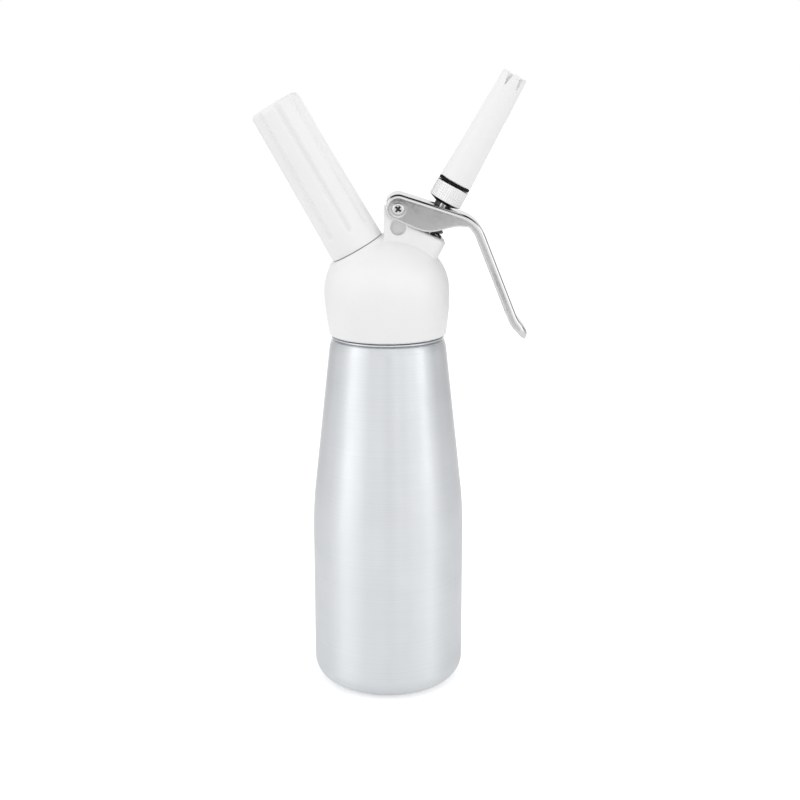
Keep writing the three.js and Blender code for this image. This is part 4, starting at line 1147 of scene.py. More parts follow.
def valve_stem():
    piston_top = -PISTON_SEAT - PISTON_SEAL - 2 * GAP
    piston_bottom = piston_top - PISTON_THICKNESS
    bore_end = -PISTON_SEAT + STEM_HOLE
    profile = eased([(0, piston_bottom), (PISTON_RADIUS, piston_bottom), (PISTON_RADIUS, piston_top),
                     (STEM_RADIUS, piston_top), (STEM_RADIUS, STEM_TOP), (STEM_BORE, STEM_TOP),
                     (STEM_BORE, bore_end), (0, bore_end)], STEM_EASE)
    piece = turned("hollow_stem", profile, SMALL_SIDES, VALVE_AXIS)
    drill = turned("tool", [(0, -2 * STEM_RADIUS), (STEM_HOLE, -2 * STEM_RADIUS),
                            (STEM_HOLE, 2 * STEM_RADIUS), (0, 2 * STEM_RADIUS)], DRILL_SIDES,
                   VALVE_AXIS @ Matrix.Translation((0, 0, bore_end + STEM_HOLE + GAP))
                   @ Matrix.Rotation(math.pi / 2, 4, "X"))
    # The stem up to near its top gets painted shade, for the shadow under the adapter; its top end stays
    # bright
    painted_shade_end = STEM_TOP - STEM_UNSHADED_END
    return paint_shade(cut(piece, drill), VALVE_AXIS, lambda place: 0 < place.z < painted_shade_end)


def piston_seal():
    top = -PISTON_SEAT - GAP
    section = ring_section(STEM_CLEAR, PISTON_RADIUS - GAP, top - PISTON_SEAL, top, PISTON_SEAL_EASE)
    return turned("piston_washer", section, SMALL_SIDES, VALVE_AXIS, closed=True)


def valve_bush():
    section = ring_section(STEM_CLEAR, BUSH_RADIUS, BUSH_TOP - BUSH_LENGTH, BUSH_TOP, BUSH_EASE)
    return turned("guide_bush", section, SMALL_SIDES, VALVE_AXIS, closed=True)


def valve_spring():
    """One unbroken round wire wound on a cone."""
    wire = SPRING_WIRE / 2
    steps = round(SPRING_TURNS * SPRING_STEPS)
    sides = SPRING_SIDES
    rise = SPRING_LENGTH - SPRING_WIRE
    points = []
    faces = []
    cap_steps = SPRING_CAP_STEPS
    shares = [0] * cap_steps + list(np.linspace(0, 1, steps + 1)) + [1] * cap_steps
    for i, share in enumerate(shares):
        from_end = min(i, len(shares) - 1 - i)
        lead = max(0, cap_steps - from_end) / cap_steps
        swell = max(math.sqrt(max(0, 1 - lead * lead)), SPRING_CAP_LEAST)
        back = -1 if i < cap_steps else 1
        angle = share * SPRING_TURNS * TURN
        radius = SPRING_BASE - wire + (SPRING_TOP - SPRING_BASE) * share
        angle += back * lead * wire * SPRING_CAP_SHARE / radius
        height = GAP + wire + rise * share
        for k in range(sides):
            around = k / sides * TURN
            reach = radius + wire * swell * math.cos(around)
            points.append((reach * math.cos(angle), reach * math.sin(angle),
                           height + wire * swell * math.sin(around)))
    for i in range(len(shares) - 1):
        for k in range(sides):
            n = (k + 1) % sides
            faces.append((i * sides + k, (i + 1) * sides + k, (i + 1) * sides + n, i * sides + n))
    last = (len(shares) - 1) * sides
    faces.append(tuple(range(sides)))
    faces.append(tuple(last + k for k in reversed(range(sides))))
    return make_object("cone_spring", placed(points, VALVE_AXIS), faces)


def spring_collar():
    end = COLLAR_START + COLLAR_THICKNESS
    section = ring_section(STEM_CLEAR, COLLAR_RADIUS, COLLAR_START, end, COLLAR_EASE)
    return turned("press_collar", section, SMALL_SIDES, VALVE_AXIS, closed=True)


def tip_adapter():
    """The grip ring has a fine square knurl between two plain edges."""
    throat = STEM_TOP + GAP
    stub_end = KNURL_END + STUB_LENGTH
    band_start = KNURL_START + KNURL_EDGE
    band_end = KNURL_END - KNURL_EDGE
    below = eased([(STEM_CLEAR + ADAPTER_MOUTH_LIP, ADAPTER_START), (ADAPTER_CONE_TOP, KNURL_START),
                   (KNURL_RADIUS, band_start - KNURL_LEAD)], ADAPTER_CONE_EASE)
    band = [(KNURL_RADIUS, h) for h in np.linspace(band_start, band_end, KNURL_ROWS)]
    above = eased([(KNURL_RADIUS, band_end + KNURL_LEAD), (ADAPTER_CONE_TOP, KNURL_END),
                   (STUB_RADIUS, KNURL_END), (STUB_RADIUS, stub_end), (ADAPTER_BORE, stub_end),
                   (ADAPTER_BORE, throat), (STEM_CLEAR, throat), (STEM_CLEAR, ADAPTER_START)],
                  ADAPTER_EASE)
    first, last = len(below), len(below) + len(band)

    def knurl(angles, row, radii, heights):
        if not first <= row < last:
            return radii, heights
        one = np.abs((angles / TURN * KNURL_TEETH) % 1 - 0.5) * 2
        other = np.abs((heights / KNURL_PITCH) % 1 - 0.5) * 2
        notch = np.maximum(1 - one / KNURL_FLAT, KNURL_RINGS * (1 - other / KNURL_FLAT))
        return radii - KNURL_DEPTH * np.clip(notch, 0, 1), heights
    piece = turned("knurled_adapter", below + band + above, KNURL_TEETH * KNURL_TOOTH_SIDES,
                   VALVE_AXIS, knurl, closed=True)
    # The cone under the knurl gets painted shade, for the shadowed underside of the adapter
    return paint_shade(piece, VALVE_AXIS, lambda place: place.z < KNURL_START)


def decorating_tip():
    """The top edge follows six pointed teeth with rounded valleys."""
    end = TIP_START + TIP_LENGTH
    socket = STUB_RADIUS + GAP
    socket_end = TIP_START + TIP_SOCKET_DEPTH
    throat = socket_end + TIP_SHOULDER
    valley = end - TOOTH_DEPTH - TIP_STEP

    def outer(height):
        return TIP_BASE + (TIP_END - TIP_BASE) * (height - TIP_START) / TIP_LENGTH

    start = eased([(socket, socket_end), (socket, TIP_START), (TIP_BASE, TIP_START),
                   (outer(TIP_START + TIP_STEP), TIP_START + TIP_STEP)], TIP_EASE)
    outside = [(outer(h), h) for h in np.linspace(TIP_START + 2 * TIP_STEP, valley, TIP_WALL_ROWS)]
    shares = np.linspace(0, 1, TOOTH_ROWS)[1:]
    teeth_out = [(outer(valley + s * (end - valley)), valley + s * (end - valley)) for s in shares]
    lip_height = end + TIP_LIP_RISE
    lip = [(TIP_END - TIP_LIP_EASE, lip_height), (TIP_END - TIP_WALL + TIP_LIP_EASE, lip_height)]
    wall_start = outer(throat) - 2 * TIP_WALL
    wall_end = TIP_END - TIP_WALL

    def inner(height):
        return wall_start + (wall_end - wall_start) * (height - throat) / (end - throat)

    teeth_in = [(inner(h), h) for _, h in reversed(teeth_out)]
    inside = [(inner(h), h) for h in np.linspace(valley, throat + TIP_STEP, TIP_BORE_ROWS)]
    profile = start + outside + teeth_out + lip + teeth_in + inside + [(wall_start, throat)]
    first = len(start) + len(outside)
    crest = first + len(teeth_out)
    last = crest + len(lip) + len(teeth_in)

    def teeth(angles, row, radii, heights):
        if not first <= row < last:
            return radii, heights
        phase = ((angles - (TOOTH_TURN - 90 * DEGREE)) / TURN * TIP_TEETH) % 1
        wave = np.abs(phase - 0.5) * 2
        rise = np.clip((wave - VALLEY_SHARE) / (CREST_SHARE - VALLEY_SHARE), 0, 1)
        rounded = (1 - np.cos(rise * math.pi)) / 2
        rise = rise * TOOTH_STRAIGHT_SHARE + rounded * (1 - TOOTH_STRAIGHT_SHARE)
        edge = valley + TIP_STEP + TOOTH_DEPTH * rise
        share = (heights[0] - valley) / (end - valley)
        lowered = valley + share * (edge - valley)
        wall = outer if row <= crest else inner
        return wall(lowered) + (radii - wall(heights)), lowered
    return turned("star_tip", profile, TIP_TEETH * TOOTH_SIDES, VALVE_AXIS, teeth, closed=True)


# Pivot pin, in the frame of the pivot axis, whose height runs along +Y
def pivot_barrel():
    head_start = LEVER_HALF + GAP
    head_end = head_start + BARREL_HEAD_THICKNESS
    profile = eased([(0, BARREL_BORE_END), (BARREL_BORE, BARREL_BORE_END),
                     (BARREL_BORE, GAP - LEVER_HALF), (BARREL_RADIUS, GAP - LEVER_HALF),
                     (BARREL_RADIUS, head_start), (BARREL_HEAD, head_start)], BARREL_EASE)
    crown = bend((BARREL_HEAD, head_start + BARREL_HEAD_THICKNESS * BARREL_SIDE_SHARE),
                 (BARREL_HEAD * BARREL_CORNER_SHARE, head_end),
                 (BARREL_HEAD * BARREL_FLAT_SHARE, head_end), BARREL_CROWN_STEPS)
    return turned("sleeve_nut", profile + crown + [(0, head_end)], SMALL_SIDES, PIVOT_AXIS)


def pivot_screw():
    head_start = -LEVER_HALF - GAP
    head_end = head_start - SCREW_HEAD_THICKNESS
    crown = bend((SCREW_HEAD * SCREW_FLAT_SHARE, head_end), (SCREW_HEAD * SCREW_CORNER_SHARE, head_end),
                 (SCREW_HEAD, head_start - SCREW_HEAD_THICKNESS * SCREW_SIDE_SHARE), SCREW_CROWN_STEPS)
    shank_end = head_start + SCREW_SHANK_LENGTH
    shank = eased([(SCREW_HEAD, head_start), (SCREW_SHANK, head_start), (SCREW_SHANK, shank_end),
                   (0, shank_end)], SCREW_EASE)
    piece = turned("cross_screw", [(0, head_end)] + crown + shank, SMALL_SIDES, PIVOT_AXIS)
    tools = []
    for turn in (CROSS_TURN, CROSS_TURN + 90 * DEGREE):
        axis = PIVOT_AXIS @ Matrix.Rotation(turn, 4, "Z")
        tools.append(box((0, 0, head_end), (CROSS_LENGTH / 2, CROSS_WIDTH / 2, CROSS_DEPTH), axis))
    funnel = [(0, head_end - CROSS_PAST), (FUNNEL_TOP_SHARE * CROSS_WIDTH, head_end - CROSS_PAST),
              (FUNNEL_FLOOR_SHARE * CROSS_WIDTH, head_end + CROSS_DEPTH),
              (0, head_end + FUNNEL_DEPTH_SHARE * CROSS_DEPTH)]
    tools.append(turned("tool", funnel, DRILL_SIDES, PIVOT_AXIS))
    cut(piece, *tools)
    # The walls and floor of the cross, under a thin bright edge, get painted shade for the shadow in the
    # slots
    reach = CROSS_LENGTH / 2 + CROSS_RIM
    return paint_shade(piece, PIVOT_AXIS, lambda place: CROSS_UNSHADED_EDGE < place.z - head_end
                  < 2 * CROSS_DEPTH and math.hypot(place.x, place.y) < reach)


def stem_oring():
    tube = STEM_RING / 2
    middle = BUSH_TOP - BUSH_LENGTH - GAP - tube
    return ring("stem_ring", STEM_CLEAR + tube, tube, middle, VALVE_AXIS)


def tip_oring():
    half = TIP_BAND_SHARE * TIP_RING / 2
    section = ring_section(TIP_BAND_RADIUS - TIP_RING, TIP_BAND_RADIUS, TIP_RING_MIDDLE - half,
                           TIP_RING_MIDDLE + half, TIP_BAND_EDGE)
    return turned("tip_ring", section, SMALL_SIDES, VALVE_AXIS, closed=True)


# Shader helpers
def node(tree, kind, **settings):
    made = tree.nodes.new(kind)
    for name, value in settings.items():
        setattr(made, name, value)
    return made


def wire(tree, source, target):
    tree.links.new(source, target)


def fed(tree, made, *values):
    """The node's first output, with its inputs wired to outputs or set to numbers."""
    for socket, value in zip(made.inputs, values):
        if isinstance(value, (int, float)):
            socket.default_value = value
        else:
            wire(tree, value, socket)
    return made.outputs[0]


def maths(tree, operation, first, second, clamp=False):
    return fed(tree, node(tree, "ShaderNodeMath", operation=operation, use_clamp=clamp), first, second)


def ranged(tree, value, low, high, to_low, to_high):
    return fed(tree, node(tree, "ShaderNodeMapRange"), value, low, high, to_low, to_high)


def object_place(tree):
    return node(tree, "ShaderNodeTexCoord").outputs["Object"]


def new_group(name, inputs, outputs):
    """A shader node group. Inputs are name: (type, default), outputs name: type."""
    group = bpy.data.node_groups.new(name, "ShaderNodeTree")
    for label, (kind, value) in inputs.items():
        socket = group.interface.new_socket(name=label, in_out="INPUT", socket_type="NodeSocket" + kind)
        socket.default_value = value
    for label, kind in outputs.items():
        group.interface.new_socket(name=label, in_out="OUTPUT", socket_type="NodeSocket" + kind)
    return group, node(group, "NodeGroupInput").outputs, node(group, "NodeGroupOutput").inputs


# Where the noise of each group starts and ends to count in its mask
GRAIN_SPAN = (0.35, 0.65)
LINES_SPAN = (0.3, 0.7)
HANDLING_SPAN = (0.4, 0.7)

# The noises' sizes and details
LINES_DETAIL = 3.0
WEAR_GRAIN = 420.0
HANDLING_DETAIL = 4.0
HANDLING_DISTORTION = 0.8


def fine_grain_group():
    """An even grain, as height and as a mask from 0 to 1."""
    group, given, out = new_group("fine_grain", {"Scale": ("Float", 900.0), "Detail": ("Float", 2.0)},
                                  {"Height": "Float", "Mask": "Float"})
    noise = node(group, "ShaderNodeTexNoise")
    wire(group, object_place(group), noise.inputs["Vector"])
    wire(group, given["Scale"], noise.inputs["Scale"])
    wire(group, given["Detail"], noise.inputs["Detail"])
    wire(group, noise.outputs["Fac"], out["Height"])
    wire(group, ranged(group, noise.outputs["Fac"], *GRAIN_SPAN, 0, 1), out["Mask"])
    return group


def turning_lines_group():
    """Fine lines round an axis, as a lathe or a polishing belt leaves them."""
    group, given, out = new_group(
        "turning_lines",
        {"Axis": ("Vector", (0.0, 0.0, 1.0)), "Lines": ("Float", 1500.0), "Waver": ("Float", 6.0)},
        {"Height": "Float", "Mask": "Float"})
    place = object_place(group)
    along = node(group, "ShaderNodeVectorMath", operation="DOT_PRODUCT")
    wire(group, place, along.inputs[0])
    wire(group, given["Axis"], along.inputs[1])
    stretched = node(group, "ShaderNodeVectorMath", operation="SCALE")
    wire(group, place, stretched.inputs[0])
    wire(group, given["Waver"], stretched.inputs["Scale"])
    lines = node(group, "ShaderNodeVectorMath", operation="SCALE")
    wire(group, given["Axis"], lines.inputs[0])
    wire(group, maths(group, "MULTIPLY", along.outputs["Value"], given["Lines"]), lines.inputs["Scale"])
    both = node(group, "ShaderNodeVectorMath", operation="ADD")
    wire(group, stretched.outputs[0], both.inputs[0])
    wire(group, lines.outputs[0], both.inputs[1])
    noise = node(group, "ShaderNodeTexNoise")
    noise.inputs["Scale"].default_value = 1.0
    noise.inputs["Detail"].default_value = LINES_DETAIL
    wire(group, both.outputs[0], noise.inputs["Vector"])
    wire(group, noise.outputs["Fac"], out["Height"])
    wire(group, ranged(group, noise.outputs["Fac"], *LINES_SPAN, 0, 1), out["Mask"])
    return group


def edge_wear_group():
    """Where edges stick out and are rubbed, broken up by a grain."""
    group, given, out = new_group("edge_wear", {"Start": ("Float", 0.53), "End": ("Float", 0.6)},
                                  {"Mask": "Float"})
    edge = node(group, "ShaderNodeNewGeometry").outputs["Pointiness"]
    noise = node(group, "ShaderNodeTexNoise")
    noise.inputs["Scale"].default_value = WEAR_GRAIN
    wire(group, object_place(group), noise.inputs["Vector"])
    rubbed = ranged(group, edge, given["Start"], given["End"], 0, 1)
    wire(group, maths(group, "MULTIPLY", rubbed, noise.outputs["Fac"], clamp=True), out["Mask"])
    return group


def handling_group():
    """Broad soft patches, where hands and cloths have left a slightly duller surface."""
    group, given, out = new_group("handling", {"Size": ("Float", 35.0)}, {"Mask": "Float"})
    noise = node(group, "ShaderNodeTexNoise")
    noise.inputs["Detail"].default_value = HANDLING_DETAIL
    noise.inputs["Distortion"].default_value = HANDLING_DISTORTION
    wire(group, object_place(group), noise.inputs["Vector"])
    wire(group, given["Size"], noise.inputs["Scale"])
    wire(group, ranged(group, noise.outputs["Fac"], *HANDLING_SPAN, 0, 1), out["Mask"])
    return group


FINE_GRAIN = fine_grain_group()
TURNING_LINES = turning_lines_group()
EDGE_WEAR = edge_wear_group()
HANDLING = handling_group()


def place_group(tree, group, **values):
    made = node(tree, "ShaderNodeGroup", node_tree=group)
    for name, value in values.items():
        made.inputs[name].default_value = value
    return made.outputs


def mixed_colour(tree, mask, low, high):
    mix = node(tree, "ShaderNodeMix", data_type="RGBA")
    wire(tree, mask, mix.inputs["Factor"])
    mix.inputs["A"].default_value = (*low, 1)
    mix.inputs["B"].default_value = (*high, 1)
    return mix.outputs["Result"]


def bump(tree, height, distance, strength):
    made = node(tree, "ShaderNodeBump")
    made.inputs["Distance"].default_value = distance * MM
    made.inputs["Strength"].default_value = strength
    wire(tree, height, made.inputs["Height"])
    return made.outputs["Normal"]


def grey(value):
    return (value, value, value)


def new_material(name, **values):
    material = bpy.data.materials.new(name)
    material.use_nodes = True
    tree = material.node_tree
    shader = tree.nodes["Principled BSDF"]
    for label, value in values.items():
        shader.inputs[label.replace("_", " ")].default_value = value
    return material, tree, shader.inputs


# White plastic: clean and handled colour and roughness, and its grain in millimetres
WHITE_CLEAN = grey(0.862)
WHITE_HANDLED = grey(0.847)
WHITE_ROUGHNESS = (0.3, 0.36)
WHITE_WORN_ROUGHNESS = 0.06
WHITE_GRAIN_DEPTH = 0.012
WHITE_GRAIN_STRENGTH = 0.5


def white_plastic():
    material, tree, skin = new_material("white_plastic_moulding", Metallic=0.0, IOR=1.49)
    wear = place_group(tree, EDGE_WEAR, Start=0.54, End=0.62)
    hands = place_group(tree, HANDLING, Size=28.0)
    grain = place_group(tree, FINE_GRAIN, Scale=1400.0)
    wire(tree, mixed_colour(tree, hands["Mask"], WHITE_CLEAN, WHITE_HANDLED), skin["Base Color"])
    duller = maths(tree, "ADD", ranged(tree, hands["Mask"], 0, 1, *WHITE_ROUGHNESS),
                   maths(tree, "MULTIPLY", wear["Mask"], WHITE_WORN_ROUGHNESS))
    wire(tree, duller, skin["Roughness"])
    wire(tree, bump(tree, grain["Height"], WHITE_GRAIN_DEPTH, WHITE_GRAIN_STRENGTH), skin["Normal"])
    return material


# Turned metal: what its lines, hands and rubbed edges add to its roughness
LINES_ROUGHNESS = 0.05
HANDLED_ROUGHNESS = 0.05
RUBBED_ROUGHNESS = -0.08
LINES_STRENGTH = 0.6


def turned_metal(name, low, high, rough, axis, lines, depth, anisotropy=0.0):
    """A metal with lines round an axis, so many to the metre and so deep in millimetres."""
    material, tree, skin = new_material(name, Metallic=1.0, Anisotropic=anisotropy)
    turning = place_group(tree, TURNING_LINES, Axis=axis, Lines=lines)
    wear = place_group(tree, EDGE_WEAR)
    hands = place_group(tree, HANDLING)
    wire(tree, mixed_colour(tree, turning["Mask"], low, high), skin["Base Color"])
    smudge = maths(tree, "MULTIPLY", hands["Mask"], HANDLED_ROUGHNESS)
    rubbed = maths(tree, "MULTIPLY", wear["Mask"], RUBBED_ROUGHNESS)
    base = ranged(tree, turning["Mask"], 0, 1, rough, rough + LINES_ROUGHNESS)
    wire(tree, maths(tree, "ADD", maths(tree, "ADD", base, smudge), rubbed), skin["Roughness"])
    wire(tree, bump(tree, turning["Height"], depth, LINES_STRENGTH), skin["Normal"])
    return material, tree, skin


SATIN_LOW = (0.75, 0.77, 0.793)
SATIN_HIGH = (0.795, 0.815, 0.838)
SATIN_ANISOTROPY = 0.85
QUARTER_TURN = 0.25


def satin_aluminium():
    material, tree, skin = turned_metal("satin_aluminium_turned", SATIN_LOW, SATIN_HIGH, 0.4, (0, 0, 1),
                                        2600.0, 0.005, SATIN_ANISOTROPY)
    skin["Anisotropic Rotation"].default_value = QUARTER_TURN
    tangent = node(tree, "ShaderNodeTangent", direction_type="RADIAL", axis="Z")
    wire(tree, tangent.outputs["Tangent"], skin["Tangent"])
    return material


STEEL_COLOUR = grey(0.66)
STEEL_RUBBED = grey(0.78)
STEEL_ROUGHNESS = (0.15, 0.19)
STEEL_HANDLED_ROUGHNESS = 0.04
STEEL_GRAIN_DEPTH = 0.01
STEEL_GRAIN_STRENGTH = 0.4


def polished_steel():
    material, tree, skin = new_material("polished_steel_sheet", Metallic=1.0)
    grain = place_group(tree, FINE_GRAIN, Scale=700.0, Detail=3.0)
    hands = place_group(tree, HANDLING, Size=60.0)
    wear = place_group(tree, EDGE_WEAR)
    wire(tree, mixed_colour(tree, wear["Mask"], STEEL_COLOUR, STEEL_RUBBED), skin["Base Color"])
    duller = maths(tree, "ADD", ranged(tree, grain["Mask"], 0, 1, *STEEL_ROUGHNESS),
                   maths(tree, "MULTIPLY", hands["Mask"], STEEL_HANDLED_ROUGHNESS))
    wire(tree, duller, skin["Roughness"])
    wire(tree, bump(tree, grain["Height"], STEEL_GRAIN_DEPTH, STEEL_GRAIN_STRENGTH), skin["Normal"])
    return material


RUBBER_ROUGHNESS = (0.5, 0.62)
RUBBER_GRAIN_DEPTH = 0.03
RUBBER_GRAIN_STRENGTH = 0.5


def rubber(name, colour, dusty, shine):
    material, tree, skin = new_material(name, Metallic=0.0, IOR=1.52, Specular_IOR_Level=shine)
    grain = place_group(tree, FINE_GRAIN, Scale=1800.0)
    wear = place_group(tree, EDGE_WEAR)
    wire(tree, mixed_colour(tree, wear["Mask"], colour, dusty), skin["Base Color"])
    wire(tree, ranged(tree, grain["Mask"], 0, 1, *RUBBER_ROUGHNESS), skin["Roughness"])
    wire(tree, bump(tree, grain["Height"], RUBBER_GRAIN_DEPTH, RUBBER_GRAIN_STRENGTH), skin["Normal"])
    return material


VALVE_LINE = tuple(VALVE_AXIS.to_3x3() @ Vector((0, 0, 1)))
HOLDER_LINE = tuple(HOLDER_AXIS.to_3x3() @ Vector((0, 0, 1)))


# Turned metals: slot, name, darker and lighter colour, roughness, axis, lines to the metre, depth
TURNED_METALS = (
    ("bright_metal", "bright_plated_metal", grey(0.76), grey(0.82), 0.26, VALVE_LINE, 3000.0, 0.006),
    ("dark_steel", "dark_spring_steel", (0.10, 0.10, 0.105), (0.16, 0.16, 0.165), 0.3, VALVE_LINE,
     2200.0, 0.006),
    ("charger_steel", "drawn_charger_steel", (0.42, 0.43, 0.45), (0.5, 0.51, 0.53), 0.3, HOLDER_LINE,
     1800.0, 0.008),
    ("brass", "turned_brass", (0.64, 0.47, 0.2), (0.72, 0.55, 0.26), 0.28, HOLDER_LINE, 2400.0, 0.008),
    # The last is no real finish: a near-black metal that paints shade into recesses and gaps
    ("dark_recess", "dark_recess_metal", grey(0.045), grey(0.08), 0.3, (0, 1, 0), 1500.0, 0.01),
)

# Rubbers: slot, name, colour, colour where rubbed, and shine
RUBBERS = (
    ("black_rubber", "black_seal_rubber", grey(0.006), grey(0.015), 0.1),
    ("grey_rubber", "grey_seal_rubber", (0.24, 0.25, 0.26), (0.33, 0.34, 0.35), 0.4),
)


def finishes():
    made = {
        "white_plastic": white_plastic(),
        "satin_aluminium": satin_aluminium(),
        "polished_steel": polished_steel(),
    }
    for slot, *values in TURNED_METALS:
        made[slot] = turned_metal(*values)[0]
    for slot, *values in RUBBERS:
        made[slot] = rubber(*values)
    return made


# Each piece with its maker, the node it stands for, its body and its finish
PIECES = (
    (bottle, "bottle", "bottle", "satin_aluminium"),
    (head_shell, "head_shell", "head", "white_plastic"),
    (head_gasket, "head_gasket", "head", "grey_rubber"),
    (charger_port, "charger_port", "head", "brass"),
    (port_nut, "port_nut", "head", "brass"),
    (port_seal, "port_seal", "head", "grey_rubber"),
    (piercing_pin, "piercing_pin", "head", "dark_steel"),
    (check_valve, "check_valve", "head", "grey_rubber"),
    (charger_holder, "charger_holder", "holder", "white_plastic"),
    (gas_charger, "gas_charger", "holder", "charger_steel"),
    (valve_bush, "valve_bush", "head", "brass"),
    (valve_stem, "valve_stem", "stem", "bright_metal"),
    (piston_seal, "piston_seal", "stem", "black_rubber"),
    (valve_spring, "valve_spring", "head", "dark_steel"),
    (spring_collar, "spring_collar", "stem", "dark_steel"),
    (tip_adapter, "tip_adapter", "adapter", "bright_metal"),
    (decorating_tip, "decorating_tip", "tip", "white_plastic"),
    (lever, "lever", "lever", "polished_steel"),
    (pivot_barrel, "pivot_barrel", "lever", "polished_steel"),
    (pivot_screw, "pivot_screw", "lever", "polished_steel"),
    (stem_oring, "stem_oring", "head", "black_rubber"),
    (tip_oring, "tip_oring", "adapter", "black_rubber"),
)

# The pieces with painted shade on some of their faces
PAINTED_SHADE_PIECES = ("pivot_screw", "valve_stem", "tip_adapter")


def dress(maker, stands_for, body, finish):
    piece = maker()
    piece.data.materials.append(finish)
    even = piece.modifiers.new("even_shading", "WEIGHTED_NORMAL")
    even.weight = SHADING_WEIGHT
    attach(piece, body)
    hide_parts(stands_for)
    return piece


def make_pieces():
    finish = finishes()
    made = {}
    for maker, stands_for, body, slot in PIECES:
        made[stands_for] = dress(maker, stands_for, body, finish[slot])
    for name in PAINTED_SHADE_PIECES:
        made[name].data.materials.append(finish["dark_recess"])
    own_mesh(made["valve_spring"])


# Studio, in metres and watts
AMBIENT = 0.98
FLOOR_GLOW = 0.4
MIRRORED_FLOOR_GLOW = 0.1
STUDIO_MIDDLE = (0, 0, 0.17)
WHITE = (1, 1, 1, 1)
FLOOR_COLOUR = (0.82, 0.82, 0.82, 1)
FLOOR_REACH = 8
FLOOR_SINK = 0.2 * MM

# The photograph's camera: its place, its turn up from straight down, its lens and its sensor
CAMERA_PLACE = (0.00635, -0.693, 0.3226)
CAMERA_TURN = 76.3 * DEGREE
CAMERA_LENS = 60.885
CAMERA_SENSOR = 36

# Each softbox with its place, size and power, and if gloss shows it
SOFTBOXES = (
    ("left_softbox", (-1.1, -0.45, 0.5), (0.45, 0.9), 1.2, True),
    ("right_softbox", (1.1, -0.5, 0.5), (0.45, 0.9), 1.15, True),
    ("top_softbox", (0, 0.1, 1.25), (0.8, 0.8), 1.2, False),
)

# Each card with its start and end on the floor plan, its bottom, its top, and its two shades
CARDS = (
    ("left_stripe_card", (-0.721, -0.45), (-0.558, -0.641), 0, 0.95, 1.4, 1.4),
    ("front_far_left_card", (-0.615, -0.615), (-0.298, -0.817), 0, 0.95, 1.0, 1.0),
    ("front_left_card", (-0.298, -0.817), (-0.08, -0.866), 0, 0.95, 1.08, 1.08),
    ("front_middle_card", (-0.08, -0.866), (0.08, -0.866), 0, 0.95, 1.3, 1.3),
    ("front_right_card", (0.08, -0.866), (0.298, -0.817), 0, 0.95, 1.25, 1.25),
    ("front_far_right_card", (0.298, -0.817), (0.615, -0.615), 0, 0.95, 1.0, 1.0),
    ("ear_left_card", (-0.07, -0.8), (0.0, -0.8), 0.15, 0.36, 0.3, 0.0),
    ("ear_right_card", (0.0, -0.8), (0.1, -0.8), 0.15, 0.36, 0.0, 0.45),
    ("handle_card", (0.09, -0.8), (0.2, -0.8), 0.05, 0.145, 0.2, 0.2),
    ("right_stripe_card", (0.463, -0.713), (0.721, -0.45), 0, 0.95, 1.25, 1.25),
    ("left_side_card", (-0.867, 0.076), (-0.753, 0.435), 0, 0.95, 0.77, 0.77),
    ("left_back_card", (-0.753, 0.435), (-0.435, 0.753), 0, 0.95, 0.6, 0.6),
    ("handle_side_card", (0.82, 0.0), (0.73, 0.42), 0.24, 0.5, 0.3, 0.3),
    ("right_side_card", (0.867, 0.076), (0.753, 0.435), 0, 0.95, 0.8, 0.8),
    ("right_back_card", (0.753, 0.435), (0.435, 0.753), 0, 0.95, 0.52, 0.52),
)

# The dark ceiling's corners and shade
CEILING = ((-0.8, -0.45, 1.3), (1.5, -0.45, 1.3), (1.5, 1.8, 1.05), (-0.8, 1.8, 1.05))
CEILING_SHADE = 0.03


def light_path_mask(tree):
    """One for what the camera, a gloss or a clear body sees directly."""
    path = node(tree, "ShaderNodeLightPath").outputs
    seen = maths(tree, "MAXIMUM", path["Is Camera Ray"], path["Is Glossy Ray"])
    return maths(tree, "MAXIMUM", seen, path["Is Transmission Ray"])


def world():
    made = bpy.data.worlds.new("white_studio")
    bpy.context.scene.world = made
    made.use_nodes = True
    tree = made.node_tree
    ground = tree.nodes["Background"]
    ground.inputs["Color"].default_value = WHITE
    wire(tree, ranged(tree, light_path_mask(tree), 0, 1, AMBIENT, 1), ground.inputs["Strength"])


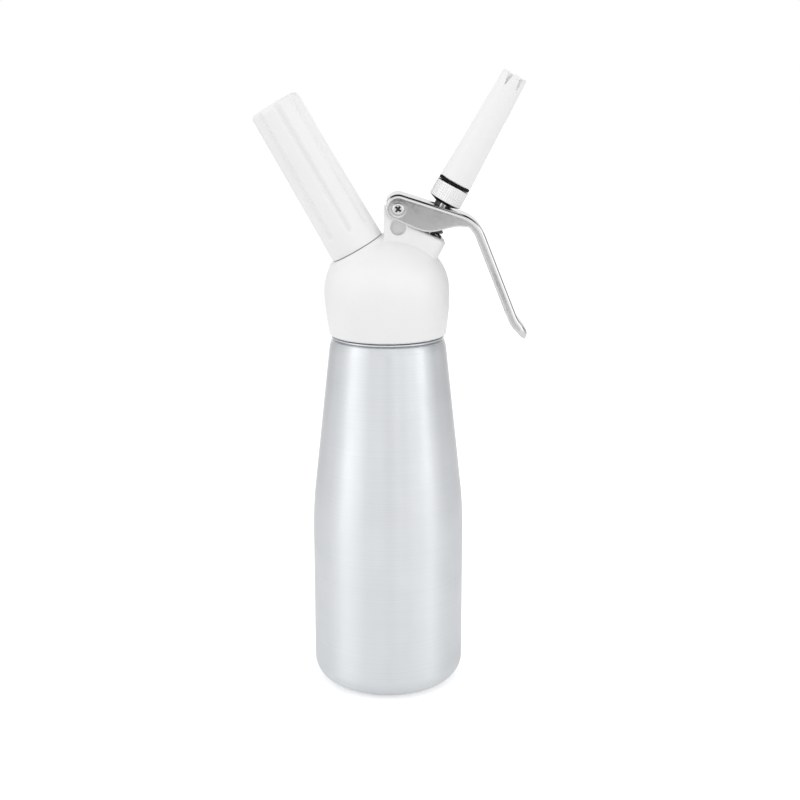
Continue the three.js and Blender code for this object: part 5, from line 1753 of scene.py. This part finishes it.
def floor():
    reach = FLOOR_REACH / MM
    plane = make_object("floor", [(-reach, -reach, 0), (reach, -reach, 0), (reach, reach, 0),
                                  (-reach, reach, 0)], [(0, 1, 2, 3)], smooth=False)
    plane.location.z = -FLOOR_SINK
    material, tree, skin = new_material("pale_floor", Metallic=0.0, Roughness=0.9, Specular_IOR_Level=0.0)
    skin["Base Color"].default_value = FLOOR_COLOUR
    skin["Emission Color"].default_value = WHITE
    path = node(tree, "ShaderNodeLightPath").outputs
    direct = maths(tree, "MAXIMUM", path["Is Camera Ray"], path["Is Transmission Ray"])
    seen = maths(tree, "MULTIPLY", direct, FLOOR_GLOW)
    mirrored = maths(tree, "MULTIPLY", path["Is Glossy Ray"], MIRRORED_FLOOR_GLOW)
    wire(tree, maths(tree, "MAXIMUM", seen, mirrored), skin["Emission Strength"])
    plane.data.materials.append(material)


def softbox(name, place, size, power, mirrored):
    lamp = bpy.data.lights.new(name, "AREA")
    lamp.shape = "RECTANGLE"
    lamp.size, lamp.size_y = size
    lamp.energy = power
    piece = linked(name, lamp)
    piece.location = place
    away = Vector(STUDIO_MIDDLE) - Vector(place)
    piece.rotation_euler = away.to_track_quat("-Z", "Y").to_euler()
    piece.visible_glossy = mirrored


def upright(start, end, bottom, top):
    return [(*start, bottom), (*end, bottom), (*end, top), (*start, top)]


def grey_card(name, corners, low, high):
    """A card that only reflections see, graded from its first corner to its second."""
    card = make_object(name, np.array(corners) / MM, [(0, 1, 2, 3)], smooth=False)
    material = bpy.data.materials.new(name)
    material.use_nodes = True
    tree = material.node_tree
    tree.nodes.clear()
    start = Vector(corners[0])
    along = Vector(corners[1]) - start
    place = node(tree, "ShaderNodeVectorMath", operation="DOT_PRODUCT")
    wire(tree, object_place(tree), place.inputs[0])
    place.inputs[1].default_value = along.normalized()
    first = along.normalized().dot(start)
    shade = ranged(tree, place.outputs["Value"], first, first + along.length, low, high)
    glow = node(tree, "ShaderNodeEmission")
    wire(tree, shade, glow.inputs["Strength"])
    wire(tree, glow.outputs[0], node(tree, "ShaderNodeOutputMaterial").inputs["Surface"])
    card.data.materials.append(material)
    card.visible_camera = False
    card.visible_diffuse = False
    card.visible_shadow = False
    card.visible_transmission = False


def camera():
    lens = bpy.data.cameras.new("camera")
    lens.lens = CAMERA_LENS
    lens.sensor_width = CAMERA_SENSOR
    piece = linked("camera", lens)
    piece.location = CAMERA_PLACE
    piece.rotation_euler = (CAMERA_TURN, 0, 0)
    bpy.context.scene.camera = piece


def studio():
    scene = bpy.context.scene
    scene.view_settings.view_transform = "Standard"
    world()
    floor()
    for values in SOFTBOXES:
        softbox(*values)
    for name, start, end, bottom, top, low, high in CARDS:
        grey_card(name, upright(start, end, bottom, top), low, high)
    grey_card("ceiling_card", CEILING, CEILING_SHADE, CEILING_SHADE)
    camera()


studio()
make_pieces()
